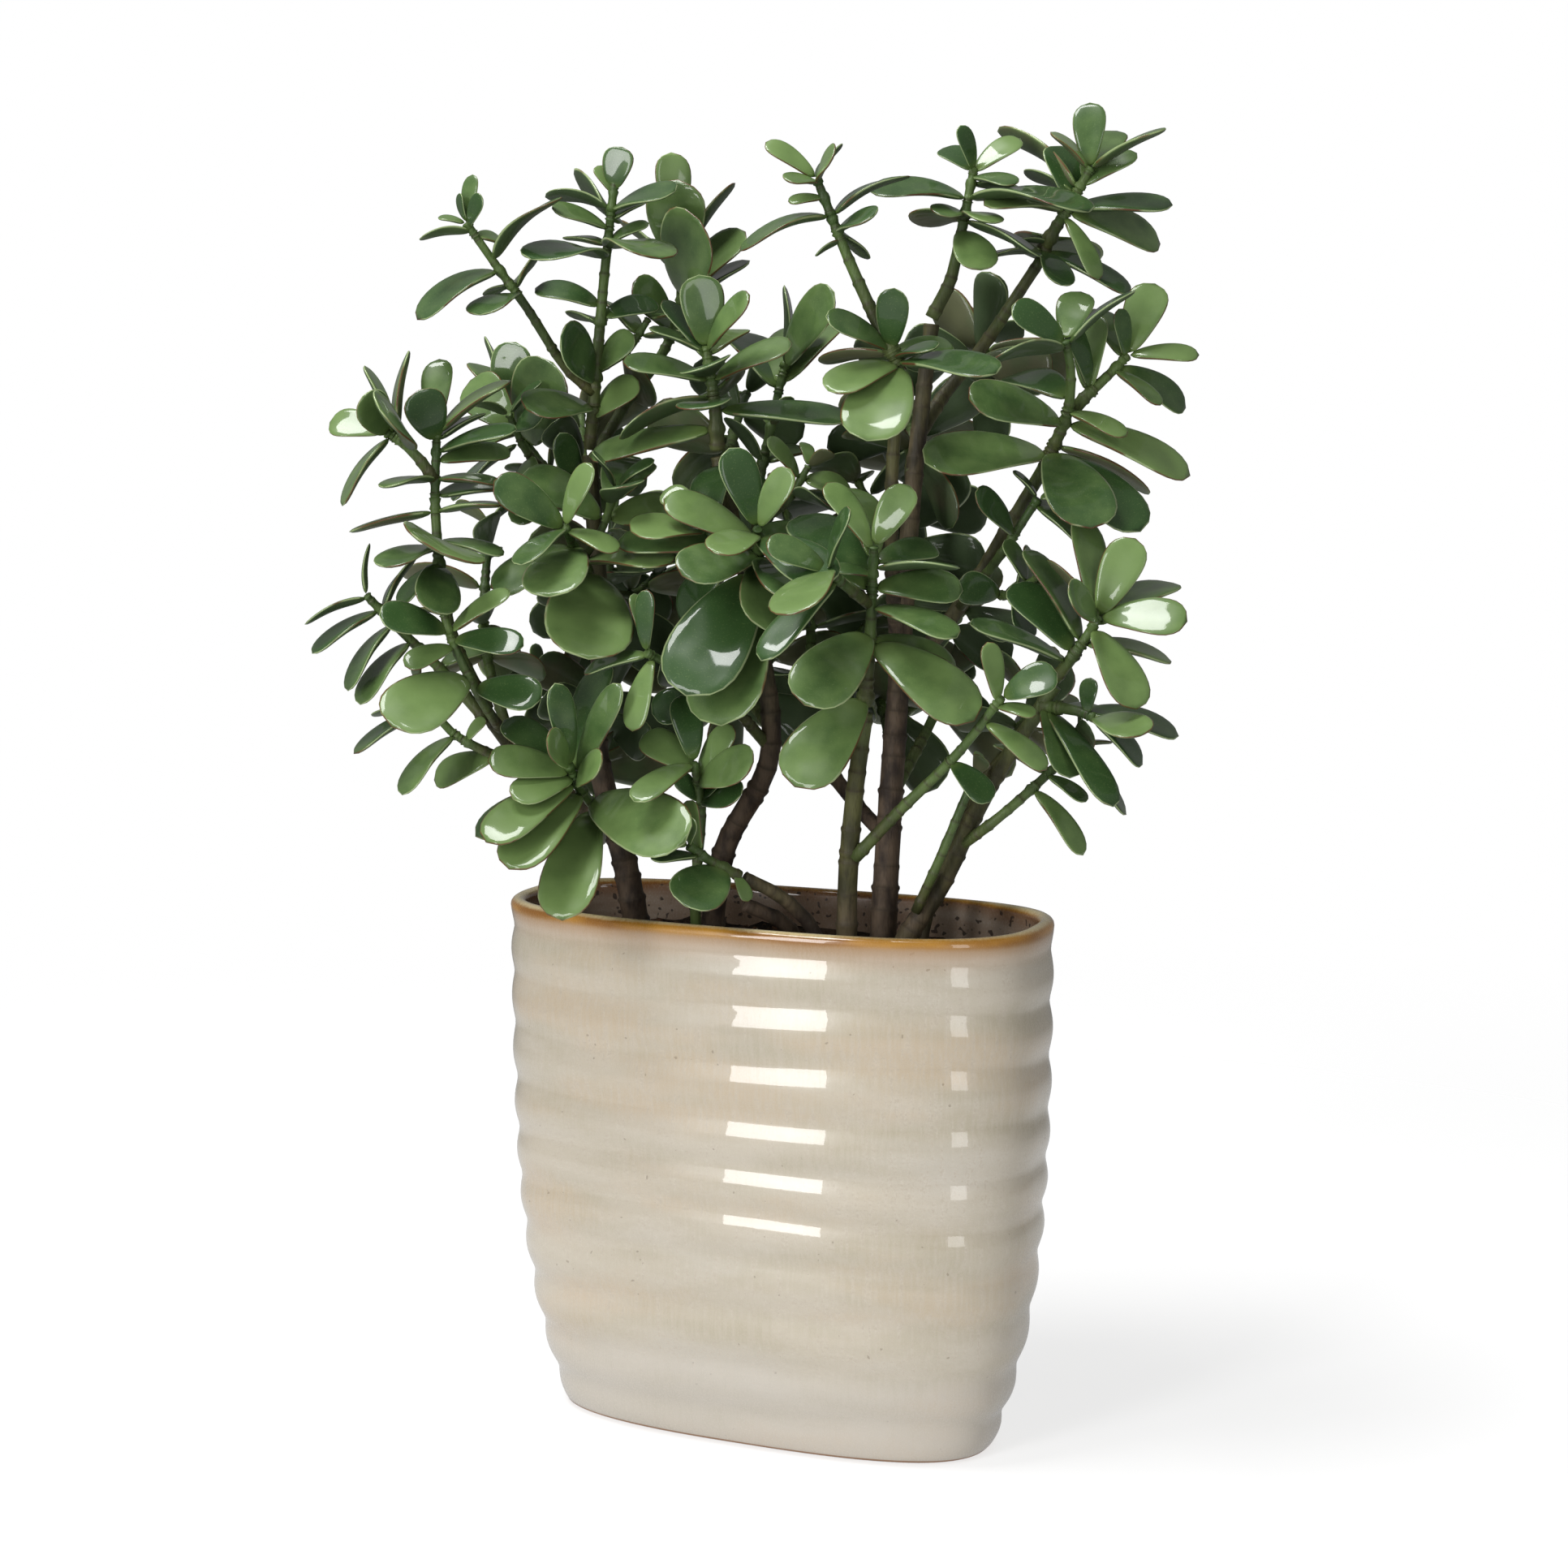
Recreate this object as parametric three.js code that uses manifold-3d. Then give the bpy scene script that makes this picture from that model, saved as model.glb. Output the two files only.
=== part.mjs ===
// A jade plant (Crassula ovata) in an oval stoneware planter with thrown ridges.
// Millimetres, +Z up. The origin is the middle of the pot's flat underside, and X runs along the
// pot's long side. The pot, the soil, each woody stem and each leafy shoot is a solid of its own.
import * as THREE from "three";
import { mergeVertices } from "three/addons/utils/BufferGeometryUtils.js";
import Module from "manifold-3d";

const wasm = await Module();
wasm.setup();

// ---------------------------------------------------------------- driving dimensions
const GAP = 0.3; // air between neighbouring solids
const FUSE = 0.04; // edges shorter than this are closed up after a cut or a join
const POT = {
  height: 242,
  halfLength: 128, // at the rim
  halfDepth: 60.5,
  footLength: 104, // half sizes of the foot
  footDepth: 41,
  wall: 7,
  floor: 12,
  squareness: 2.7, // 2 is an ellipse, more is squarer
  ridgePitch: 23.3,
  firstGroove: 18.8,
  ridgeDepth: 2.2,
  sides: 36,
};
const SOIL_LEVEL = 223;
const PLANT_TURN = THREE.MathUtils.degToRad(23.7); // the plant's own front, turned in the pot
const LEAF = {
  width: 0.66, // of its length
  halfThickness: 2.1,
  droop: 0.18, // how far the tip curls down, of the length
  cup: 0.1, // how far the margins rise, of the width
  facing: 28, // degrees a leaf turns on itself to face outwards
};

// ---------------------------------------------------------------- the plant's framework
// Points are [across, back, up] in the plant's own directions, and a stem ends where a shoot starts.
const WOODY_STEMS = {
  stem_main: {
    thick: [6.2, 3.2],
    path: [[47, -12, 205], [50, -8, 271], [56, 0, 360], [61, 5, 430], [69, 10, 502]],
  },
  stem_front: {
    thick: [4.9, 3.4],
    path: [[31, -40, 205], [31, -45, 257], [33, -50, 291], [38, -55, 335]],
  },
  stem_right: {
    thick: [5, 3],
    path: [[46, -36, 212], [59.5, -37, 237], [71, -38, 255], [92, -40, 299], [120, -50, 346]],
  },
  stem_back_right: {
    thick: [3.3, 2.6],
    path: [[60, -12, 205], [74, -15, 265], [87, -10, 291], [104, 5, 311]],
  },
  stem_middle: {
    thick: [5.6, 3],
    path: [[-32, 12, 205], [-24, 5, 265], [-3, -5, 311], [-10, -10, 373], [-26, -15, 444]],
  },
  stem_left: {
    thick: [6.2, 3.4],
    path: [[-60, 12, 205], [-69, 8, 259], [-82, 15, 312], [-80, 20, 356], [-84, 15, 444]],
  },
  stem_low_front: {
    thick: [3.4, 2.8],
    path: [[27, -32, 210], [14, -37, 240], [0, -44, 254], [-14, -49, 262]],
  },
  cut_stump: {
    thick: [3.6, 3],
    path: [[14, -12, 214], [4, -20, 236], [-14, -24, 246]],
  },
  branch_left: {
    thick: [4.2, 3.2],
    path: [[-79, 10, 281], [-98, 0, 294], [-115, -10, 311], [-128, -18, 330]],
  },
  branch_middle: {
    thick: [3.6, 2.8],
    path: [[50, -6, 273], [38, 12, 284], [22, 26, 304], [12, 32, 326]],
  },
  branch_upper_right: {
    thick: [3.8, 2.8],
    path: [[55, 0, 343], [84, 0, 380], [102, -5, 411], [119, -12, 441]],
  },
  branch_top_right: {
    thick: [3.2, 2.5],
    path: [[63, 8, 452], [76, 20, 472], [91, 25, 490], [118, 15, 531]],
  },
  branch_centre: {
    thick: [3.2, 2.6],
    path: [[54, 0, 358], [50, -30, 403], [50, -35, 438], [53, -35, 480]],
  },
};

// Leafy shoots. placed: leaves with a measured tip, each [where it leaves the shoot, its tip across,
// back and up, its width from the front as a share of its length, how far its upper side faces the
// front in degrees, and its droop]. at: where the other leaf pairs sit along the path, from 0 to 1,
// oldest first. roll: the lowest pair's turn about the shoot in degrees, where 0 lies across. leaf: the
// longest leaf of those pairs. twigs: side twigs, each [where it leaves the shoot, its turn, its length].
const SHOOTS = {
  shoot_left_tall: {
    path: [[-84, 15, 447], [-79, 5, 495], [-76, 0, 523], [-71, -5, 563]],
    at: [], roll: 0, leaf: 40, twigs: [[0.3, 20, 34]],
    placed: [
      [0.97, -67, -8, 579, 0.8, 75], [0.96, -79, -2, 571, 0.6, 60], [0.9, -104, 4, 557, 0.36, 4, 0.4],
      [0.9, -42, -22, 558, 0.46, 42], [0.87, -88, 26, 562, 0.5, 10], [0.86, -58, 26, 556, 0.5, 40],
      [0.83, -99, -18, 551, 0.4, 45], [0.77, -95, 12, 540, 0.35, 30], [0.78, -55, 18, 546, 0.4, 45],
      [0.72, -107, -18, 527, 0.46, 38, 0.42], [0.76, -48, -30, 527, 0.44, 38, 0.4],
      [0.54, -109, 8, 518, 0.44, 50, 0.3], [0.48, -90, 28, 505, 0.5, 30], [0.5, -52, 16, 512, 0.5, 60],
      [0.27, -95, -25, 497, 0.62, 65], [0.3, -62, 10, 498, 0.6, 65], [0.16, -111, -22, 464, 0.52, 58],
      [0.12, -60, -22, 478, 0.6, 62],
    ],
  },
  shoot_upper_left: {
    path: [[-82, 9, 472], [-93, 5, 482], [-110, -5, 509], [-122, -10, 526], [-135, -15, 545]],
    at: [1], roll: 0, leaf: 26, twigs: [],
    placed: [
      [0.73, -158, -22, 501, 0.4, 42, 0.42], [0.78, -90, -2, 555, 0.34, 16, 0.48],
      [0.6, -129, -32, 504, 0.6, 48], [0.62, -107, 14, 530, 0.5, 20], [0.65, -128, 8, 514, 0.4, 20],
      [0.98, -132, -12, 567, 0.36, 60], [0.98, -126, -20, 556, 0.46, 70],
      [0.95, -156, -22, 537, 0.36, 10, 0.3], [0.93, -119, -32, 537, 0.55, 50],
    ],
  },
  shoot_left_behind: {
    path: [[-84, 18, 440], [-69, 30, 466], [-51, 40, 492], [-44, 45, 514], [-47, 45, 550]],
    at: [0.56], roll: 20, leaf: 38, twigs: [],
    placed: [
      [0.97, -48, 42, 582, 0.52, 75], [0.84, -44, 26, 569, 0.72, 70], [0.84, -17, 42, 569, 0.4, 12],
      [0.72, -33, 10, 550, 0.72, 55], [0.7, -12, 40, 546, 0.5, 40], [0.66, -10, 26, 533, 0.34, 30, 0.25],
      [0.8, -72, 42, 550, 0.45, 20], [0.6, -66, 24, 522, 0.6, 60],
    ],
  },
  shoot_centre_tall: {
    path: [[-26, -15, 447], [-27, -18, 466], [-31, -20, 492]],
    at: [], roll: 0, leaf: 54, twigs: [],
    placed: [
      [0.97, -34, -24, 524, 0.66, 78], [0.95, -10, -32, 514, 0.34, 50], [0.93, -57, -22, 500, 0.3, 32],
      [0.9, -15, 4, 500, 0.5, 50], [0.85, -51, 4, 513, 0.3, 50],
      [0.66, -69, -28, 485, 0.34, 48], [0.66, 9, -30, 493, 0.38, 45], [0.72, -30, -52, 482, 0.72, 62],
      [0.55, -25, 16, 470, 0.7, 40], [0.42, -33, -56, 464, 0.62, 60], [0.5, -71, -12, 450, 0.36, 4, 0.3],
      [0.38, 35, -26, 460, 0.26, 42, 0.06], [0.2, -86, -34, 443, 0.27, 50, 0.06],
    ],
  },
  shoot_centre_behind: {
    path: [[-10, -6, 375], [-8, 15, 430], [-3, 20, 455], [4, 24, 486]],
    at: [0.6, 0.74], roll: 30, leaf: 36, twigs: [[0.35, 340, 36]],
    placed: [
      [0.98, 3, 22, 522, 0.4, 4], [0.98, 27, 16, 517, 0.42, 60], [0.95, 20, 4, 507, 0.34, 14],
      [0.9, 22, 30, 506, 0.66, 55], [0.88, -20, 34, 502, 0.5, 50],
    ],
  },
  shoot_centre_front: {
    path: [[-10, -10, 376], [-8, -32, 396], [-8, -52, 414]],
    at: [], roll: 10, leaf: 50, twigs: [[0.45, 170, 38]],
    placed: [
      [1, -21, -56, 450, 0.5, 76], [1, 7, -62, 441, 0.46, 70], [0.9, 23, -88, 391, 0.42, 65],
      [0.92, -27, -84, 404, 0.46, 62], [0.7, -42, -74, 394, 0.52, 65], [0.66, 9, -74, 384, 0.46, 60],
      [0.55, -4, -80, 370, 0.5, 60], [0.5, -40, -78, 341, 0.52, 74], [0.3, -24, -60, 327, 0.5, 60],
      [0.8, -51, -46, 427, 0.42, 60], [0.72, -73, -40, 407, 0.3, 50],
    ],
  },
  shoot_front_tall: {
    path: [[38, -55, 338], [40, -60, 370], [41, -70, 407]],
    at: [], roll: 20, leaf: 50, twigs: [],
    placed: [
      [1, 57, -68, 434, 0.55, 76], [0.97, 20, -60, 435, 0.38, 60], [0.9, 70, -52, 406, 0.46, 58],
      [0.86, 79, -78, 398, 0.3, 14], [0.74, 81, -88, 388, 0.48, 62], [0.62, 77, -92, 369, 0.32, 46],
      [0.82, 23, -98, 398, 0.4, 52], [0.46, 10, -94, 340, 0.6, 74], [0.4, 85, -92, 333, 0.46, 68],
      [0.42, 80, -50, 351, 0.42, 55], [0.06, 6, -84, 304, 0.56, 70], [0.9, 34, -44, 432, 0.4, 60],
      [0.7, 8, -40, 420, 0.5, 60],
    ],
  },
  shoot_front_side: {
    path: [[40, -62, 382], [30, -75, 390], [21, -85, 398]],
    at: [], roll: 40, leaf: 38, twigs: [],
    placed: [
      [0.75, -8, -102, 360, 0.26, 55], [0.97, 5, -104, 381, 0.42, 50], [0.98, -6, -92, 410, 0.5, 62],
      [0.98, 31, -94, 425, 0.3, 22],
    ],
  },
  shoot_front_right: {
    path: [[34, -50, 271], [50, -59, 290], [77, -75, 320], [94, -90, 345]],
    at: [], roll: 0, leaf: 40, twigs: [],
    placed: [
      [0.62, 91, -84, 299, 0.54, 68], [0.86, 114, -96, 314, 0.34, 62], [0.97, 87, -94, 370, 0.4, 62],
      [1, 118, -94, 356, 0.66, 66], [0.95, 109, -106, 338, 0.4, 55],
    ],
  },
  shoot_right: {
    path: [[120, -50, 349], [129, -60, 363], [137, -65, 377]],
    at: [], roll: 45, leaf: 44, twigs: [],
    placed: [
      [1, 153, -64, 412, 0.54, 76], [1, 174, -84, 376, 0.5, 68], [0.85, 151, -92, 338, 0.46, 64],
      [0.96, 120, -92, 389, 0.56, 64], [0.6, 106, -42, 407, 0.3, 40], [0.94, 114, -46, 402, 0.3, 8, 0.25],
      [0.9, 131, -42, 421, 0.34, 60], [0.85, 175, -30, 390, 0.32, 40], [0.6, 172, -52, 356, 0.28, 34, 0.25],
      [0.3, 79, -72, 375, 0.24, 36], [0.45, 100, -44, 391, 0.5, 60],
    ],
  },
  shoot_right_under: {
    path: [[114, -48, 337], [126, -60, 337], [136, -68, 334]],
    at: [], roll: 0, leaf: 46, twigs: [],
    placed: [
      [0.35, 157, -62, 327, 0.3, 22, 0.3], [0.7, 174, -36, 325, 0.34, 36, 0.25],
      [0.9, 158, -62, 312, 0.38, 42], [0.1, 143, -88, 296, 0.26, 50, 0.1], [0.05, 125, -84, 307, 0.46, 58],
      [0.85, 134, -56, 352, 0.5, 55], [0.98, 152, -86, 330, 0.5, 60],
    ],
  },
  shoot_right_hanging: {
    path: [[80, -39, 274], [98, -50, 290], [121, -45, 310], [132, -40, 320]],
    at: [0.87, 1], roll: 90, leaf: 32, twigs: [],
    placed: [
      [0.6, 133, -62, 272, 0.3, 50, 0.25], [0.72, 134, -60, 296, 0.36, 46],
      [0.88, 154, -42, 287, 0.3, 30, 0.3],
      [0.72, 98, -20, 318, 0.4, 40],
    ],
  },
  shoot_right_outer: {
    path: [[129, -17, 463], [136, -18, 471], [146, -14, 480], [154, -11, 488]],
    at: [], roll: 30, leaf: 42, twigs: [],
    placed: [
      [1, 167, -5, 521, 0.58, 76], [0.96, 148, -22, 509, 0.4, 60], [0.93, 141, 12, 510, 0.5, 60],
      [1, 187, -12, 488, 0.34, 62], [0.8, 183, 0, 464, 0.42, 66], [0.75, 167, -32, 465, 0.3, 50],
      [0.35, 124, -34, 506, 0.34, 52], [0.3, 140, 4, 508, 0.42, 60],
    ],
  },
  shoot_right_inner: {
    path: [[120, -13, 444], [127, -22, 464], [127, -30, 483], [124, -35, 494]],
    at: [], roll: 60, leaf: 38, twigs: [],
    placed: [
      [0.96, 99, -32, 509, 0.56, 70], [0.92, 87, -52, 483, 0.3, 6, 0.25], [1, 132, -16, 516, 0.72, 72],
      [0.95, 156, -26, 516, 0.3, 16, 0.25], [0.3, 79, -52, 469, 0.44, 62], [0.02, 60, -50, 441, 0.4, 58],
      [0.03, 158, -40, 410, 0.44, 62],
      [0.05, 134, -56, 412, 0.54, 76], [0.4, 152, -38, 452, 0.36, 52], [0.3, 184, -20, 434, 0.32, 56],
      [0.1, 168, 2, 425, 0.26, 12, 0.25], [0.5, 104, 14, 480, 0.5, 60],
    ],
  },
  shoot_right_middle: {
    path: [[82, -3, 377], [97, -20, 399], [114, -28, 426]],
    at: [1], roll: 0, leaf: 30, twigs: [[0.25, 300, 40]],
    placed: [
      [0.95, 140, -38, 400, 0.3, 44, 0.25], [0.94, 136, 4, 412, 0.4, 50], [0.7, 84, -46, 430, 0.42, 60],
    ],
  },
  shoot_right_top: {
    path: [[118, 15, 533], [123, 10, 543], [130, 5, 555], [138, 0, 570]],
    at: [], roll: 0, leaf: 46, twigs: [],
    placed: [
      [0.98, 138, 8, 600, 0.52, 76], [0.6, 126, -12, 582, 0.8, 66], [0.97, 119, 22, 586, 0.5, 30],
      [0.85, 153, 16, 589, 0.46, 62], [0.78, 160, 4, 577, 0.36, 60], [0.97, 170, 0, 585, 0.3, 20],
      [0.75, 97, 30, 590, 0.2, 4, 0.35],
      [0.55, 176, -5, 553, 0.32, 45, 0.08], [0.5, 174, 22, 537, 0.44, 62], [0.5, 88, -12, 552, 0.3, 42, 0.35],
      [0.46, 142, -6, 519, 0.3, 60], [0.04, 159, -6, 514, 0.32, 45], [0.04, 92, 0, 531, 0.36, 20],
      [0.05, 125, -22, 517, 0.5, 60], [0.2, 130, 42, 530, 0.6, 40], [0.15, 102, 36, 538, 0.4, 20],
      [0.7, 112, 20, 568, 0.4, 20],
    ],
  },
  shoot_top_right: {
    path: [[69, 10, 505], [77, 8, 521], [82, 5, 544], [87, 5, 570]],
    at: [], roll: 90, leaf: 48, twigs: [],
    placed: [
      [0.98, 80, 0, 589, 0.44, 60], [0.98, 73, 16, 580, 0.7, 62], [0.97, 109, 12, 584, 0.46, 60],
      [0.94, 105, -14, 561, 0.42, 50], [0.9, 111, 16, 559, 0.3, 8], [0.8, 38, -10, 558, 0.33, 46, 0.34],
      [0.79, 136, -22, 546, 0.32, 34, 0.38], [0.7, 68, -24, 549, 0.5, 55], [0.7, 94, -22, 544, 0.5, 50],
      [0.68, 62, 34, 547, 0.4, 10], [0.66, 116, 12, 529, 0.3, 26], [0.6, 89, -30, 523, 0.66, 75],
    ],
  },
  shoot_top_centre: {
    path: [[53, -35, 483], [43, -35, 502], [31, -35, 528], [17, -38, 562]],
    at: [], roll: 0, leaf: 48, twigs: [],
    placed: [
      [1, -6, -36, 578, 0.4, 62], [0.99, 25, -56, 572, 0.5, 40], [0.98, 3, -62, 560, 0.5, 50],
      [1, 28, -24, 577, 0.4, 20], [0.9, 4, -40, 552, 0.4, 60], [0.8, -18, -46, 529, 0.3, 30, 0.55],
      [0.8, 60, -28, 564, 0.34, 22, 0.45], [0.73, 42, -62, 545, 0.46, 56], [0.72, 36, -8, 531, 0.42, 40],
      [0.68, 16, -52, 529, 0.3, 8], [0.09, 50, -42, 517, 0.5, 76], [0.09, 19, -52, 504, 0.4, 58],
      [0.08, 78, -24, 492, 0.4, 52], [0.07, 18, -12, 484, 0.34, 10], [0.05, 68, -60, 490, 0.35, 45],
      [0.02, 93, -58, 478, 0.3, 52], [0.01, 20, -62, 471, 0.44, 56], [0.01, 37, -74, 449, 0.62, 78],
    ],
  },
  shoot_left_middle: {
    path: [[-82, 18, 384], [-87, -10, 398], [-92, -35, 414]],
    at: [], roll: 20, leaf: 48, twigs: [[0.5, 40, 38]],
    placed: [
      [0.98, -123, -48, 435, 0.5, 76], [1, -79, -42, 443, 0.38, 62], [0.97, -109, -68, 398, 0.34, 45],
      [0.95, -67, -46, 403, 0.38, 52], [0.72, -97, -70, 384, 0.58, 74], [0.75, -124, -50, 384, 0.46, 56],
      [0.35, -80, -66, 356, 0.58, 76], [0.5, -43, -46, 398, 0.3, 38], [0.6, -112, -10, 398, 0.5, 60],
    ],
  },
  shoot_left_inner: {
    path: [[-83, 18, 416], [-99, 40, 429], [-115, 50, 448], [-127, 55, 468]],
    at: [0.5], roll: 10, leaf: 44, twigs: [[0.5, 250, 36]],
    placed: [
      [0.95, -119, 46, 497, 0.66, 76], [0.7, -100, 36, 488, 0.72, 66], [1, -137, 56, 499, 0.3, 8],
      [0.2, -98, 14, 456, 0.36, 60], [0.9, -142, 50, 487, 0.4, 40], [0.8, -142, 36, 447, 0.4, 50],
      [0.35, -122, 26, 413, 0.55, 66],
    ],
  },
  shoot_far_left: {
    path: [[-128, -18, 333], [-143, -28, 369], [-149, -25, 417], [-148, -25, 456]],
    at: [], roll: 0, leaf: 42, twigs: [],
    placed: [
      [0.96, -155, -36, 474, 0.8, 76], [1, -148, -10, 488, 0.46, 76], [0.98, -114, -18, 478, 0.3, 30, 0.25],
      [0.96, -128, -8, 463, 0.36, 30], [0.92, -110, -36, 456, 0.28, 40, 0.2],
      [0.89, -115, -14, 446, 0.36, 58],
      [0.83, -169, -52, 431, 0.34, 30], [0.83, -118, -30, 432, 0.3, 30], [0.77, -117, -8, 431, 0.34, 40],
      [0.72, -188, -32, 411, 0.24, 18, 0.1], [0.72, -117, -32, 423, 0.28, 20],
      [0.62, -117, -26, 401, 0.3, 32],
      [0.6, -168, -62, 397, 0.42, 46], [0.6, -140, -62, 404, 0.5, 40], [0.54, -146, -64, 377, 0.5, 62],
      [0.54, -165, -46, 379, 0.42, 42],
    ],
  },
  shoot_far_left_fork: {
    path: [[-149, -25, 434], [-159, -28, 447], [-170, -30, 455]],
    at: [], roll: 0, leaf: 40, twigs: [],
    placed: [
      [0.98, -196, -24, 459, 0.62, 70], [0.95, -177, -52, 471, 0.66, 76], [0.8, -160, -36, 492, 0.3, 16],
      [0.85, -180, -14, 485, 0.3, 14], [0.88, -188, -42, 421, 0.3, 26, 0.3], [0.6, -166, -52, 465, 0.4, 50],
    ],
  },
  shoot_left_front: {
    path: [[-122, -15, 322], [-131, -45, 345], [-141, -50, 369], [-144, -50, 381]],
    at: [1], roll: 30, leaf: 26, twigs: [],
    placed: [
      [0.8, -106, -64, 364, 0.42, 62], [0.84, -113, -28, 388, 0.32, 48], [0.85, -170, -70, 378, 0.5, 62],
      [0.76, -160, -62, 355, 0.5, 62], [0.58, -163, -80, 331, 0.6, 76], [0.5, -99, -62, 341, 0.54, 70],
      [0.95, -155, -66, 378, 0.3, 20],
    ],
  },
  shoot_far_left_low: {
    path: [[-129, -18, 328], [-145, -15, 346], [-160, -20, 362], [-179, -32, 384]],
    at: [], roll: 60, leaf: 40, twigs: [],
    placed: [
      [1, -177, -30, 408, 0.3, 10, 0.3], [0.98, -206, -42, 371, 0.28, 12, 0.3],
      [0.88, -203, -42, 358, 0.3, 34, 0.2], [0.86, -159, -38, 400, 0.3, 18, 0.3],
      [0.77, -187, -42, 341, 0.32, 32, 0.3], [0.62, -182, -52, 335, 0.34, 42, 0.3],
      [0.55, -160, -10, 343, 0.4, 40], [0.4, -128, -2, 360, 0.4, 50],
    ],
  },
  shoot_left_bottom: {
    path: [[-112, -9, 308], [-128, -22, 314], [-143, -25, 323], [-152, -28, 334]],
    at: [1], roll: 0, leaf: 28, twigs: [],
    placed: [
      [1, -186, -42, 314, 0.28, 28, 0.25], [0.98, -181, -16, 329, 0.3, 10, 0.25],
      [0.7, -164, -46, 296, 0.32, 40, 0.3], [0.3, -155, -8, 299, 0.46, 66], [0.6, -128, 6, 330, 0.5, 50],
    ],
  },
  shoot_front_left: {
    path: [[-72, 8, 270], [-80, -20, 288], [-87, -42, 302], [-90, -52, 312]],
    at: [], roll: 70, leaf: 48, twigs: [],
    placed: [
      [0.97, -95, -66, 351, 0.3, 62], [0.82, -65, -66, 351, 0.24, 62], [0.9, -75, -36, 356, 0.3, 52],
      [0.93, -126, -62, 315, 0.46, 62], [1, -98, -78, 327, 0.46, 52], [0.9, -121, -36, 331, 0.42, 54],
      [0.84, -125, -84, 281, 0.38, 64], [0.8, -133, -52, 279, 0.34, 42], [0.72, -115, -94, 269, 0.42, 68],
      [0.66, -117, -58, 266, 0.42, 46], [0.88, -114, -52, 299, 0.46, 64],
      [0.5, -92, -98, 245, 0.42, 72], [0.82, -73, -84, 317, 0.42, 62],
      [0.6, -36, -84, 281, 0.48, 78], [0.4, -90, -50, 262, 0.4, 60],
    ],
  },
  shoot_low_front: {
    path: [[-16, -50, 263], [-28, -55, 270], [-38, -60, 278]],
    at: [0.75, 1], roll: 62, leaf: 30, twigs: [],
    placed: [[0.3, -40, -92, 254, 0.78, 76], [0.1, -12, -76, 252, 0.5, 60]],
  },
  shoot_centre_small: {
    path: [[-4, -5, 315], [-20, -25, 335], [-38, -42, 350], [-56, -55, 361]],
    at: [0.5, 0.68], roll: 20, leaf: 36, twigs: [],
    placed: [
      [1, -55, -62, 390, 0.34, 62], [0.99, -62, -54, 387, 0.3, 60], [0.97, -85, -72, 351, 0.3, 38],
      [0.95, -62, -84, 326, 0.36, 60], [0.85, -36, -80, 366, 0.4, 56],
    ],
  },
  shoot_centre_low: {
    path: [[-36, -14, 212], [-36, -24, 255], [-33, -34, 290], [-36, -46, 312]],
    at: [0.8], roll: 0, leaf: 36, twigs: [],
    placed: [
      [1, -42, -62, 343, 0.5, 70], [0.9, -18, -66, 330, 0.42, 60], [1, -62, -66, 298, 0.34, 56],
      [0.95, -60, -66, 324, 0.6, 66], [0.9, -8, -62, 316, 0.5, 66],
      [0.8, -14, -60, 300, 0.5, 60],
    ],
  },
  shoot_sprout: {
    path: [[61, -43, 246], [72, -50, 273], [79, -52, 291], [86, -52, 308]],
    at: [1], roll: 90, leaf: 26, twigs: [],
  },
  shoot_back_left: {
    path: [[-82, 16, 316], [-82, 60, 328], [-78, 105, 344]],
    at: [0.3, 0.44, 0.58, 0.73, 0.87, 1], roll: 24, leaf: 42, twigs: [[0.45, 160, 40]],
  },
  shoot_back_left_high: {
    path: [[-80, 21, 360], [-80, 65, 385], [-77, 100, 425]],
    at: [0.3, 0.44, 0.58, 0.73, 0.87, 1], roll: 40, leaf: 46, twigs: [[0.4, 30, 40]],
  },
  shoot_back_centre: {
    path: [[-4, -5, 325], [-18, 55, 340], [-31, 110, 368]],
    at: [0.3, 0.44, 0.58, 0.73, 0.87, 1], roll: 20, leaf: 48, twigs: [[0.5, 0, 40]],
  },
  shoot_back_middle: {
    path: [[12, 32, 329], [16, 50, 352], [14, 62, 388]],
    at: [0.2, 0.42, 0.62, 0.82, 1], roll: 60, leaf: 44, twigs: [[0.35, 20, 36]],
  },
  shoot_back_right_low: {
    path: [[53, -4, 305], [50, 60, 325], [40, 115, 352]],
    at: [0.5, 0.64, 0.78, 0.9, 1], roll: 50, leaf: 46, twigs: [[0.5, 20, 40]],
  },
  shoot_back_right_high: {
    path: [[58, 2, 385], [60, 60, 415], [64, 105, 447]],
    at: [0.3, 0.44, 0.58, 0.73, 0.87, 1], roll: 0, leaf: 48, twigs: [[0.45, 200, 40]],
  },
  shoot_back_far_right: {
    path: [[88, -1, 386], [82, 50, 366], [74, 92, 354]],
    at: [0.3, 0.47, 0.65, 0.83, 1], roll: 30, leaf: 38, twigs: [],
  },
  shoot_back_side: {
    path: [[104, 5, 313], [114, 30, 322], [121, 50, 338]],
    at: [0.42, 0.62, 0.82, 1], roll: 20, leaf: 36, twigs: [],
  },
  shoot_back_top: {
    path: [[60, 4, 436], [62, 50, 455], [58, 85, 478]],
    at: [0.3, 0.47, 0.65, 0.83, 1], roll: 50, leaf: 44, twigs: [[0.45, 200, 36]],
  },
  shoot_back_far_left: {
    path: [[-118, -11, 314], [-134, 30, 360], [-134, 58, 412]],
    at: [0.44, 0.58, 0.73, 0.87, 1], roll: 0, leaf: 36, twigs: [],
  },
  shoot_back_top_left: {
    path: [[-84, 15, 430], [-90, 50, 446], [-92, 76, 462]],
    at: [0.4, 0.6, 0.8, 1], roll: 30, leaf: 35, twigs: [],
  },
  shoot_back_top_right: {
    path: [[86, 24, 484], [94, 52, 490], [98, 74, 500]],
    at: [0.3, 0.47, 0.65, 0.83, 1], roll: 10, leaf: 42, twigs: [],
  },
  shoot_back_centre_high: {
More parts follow.
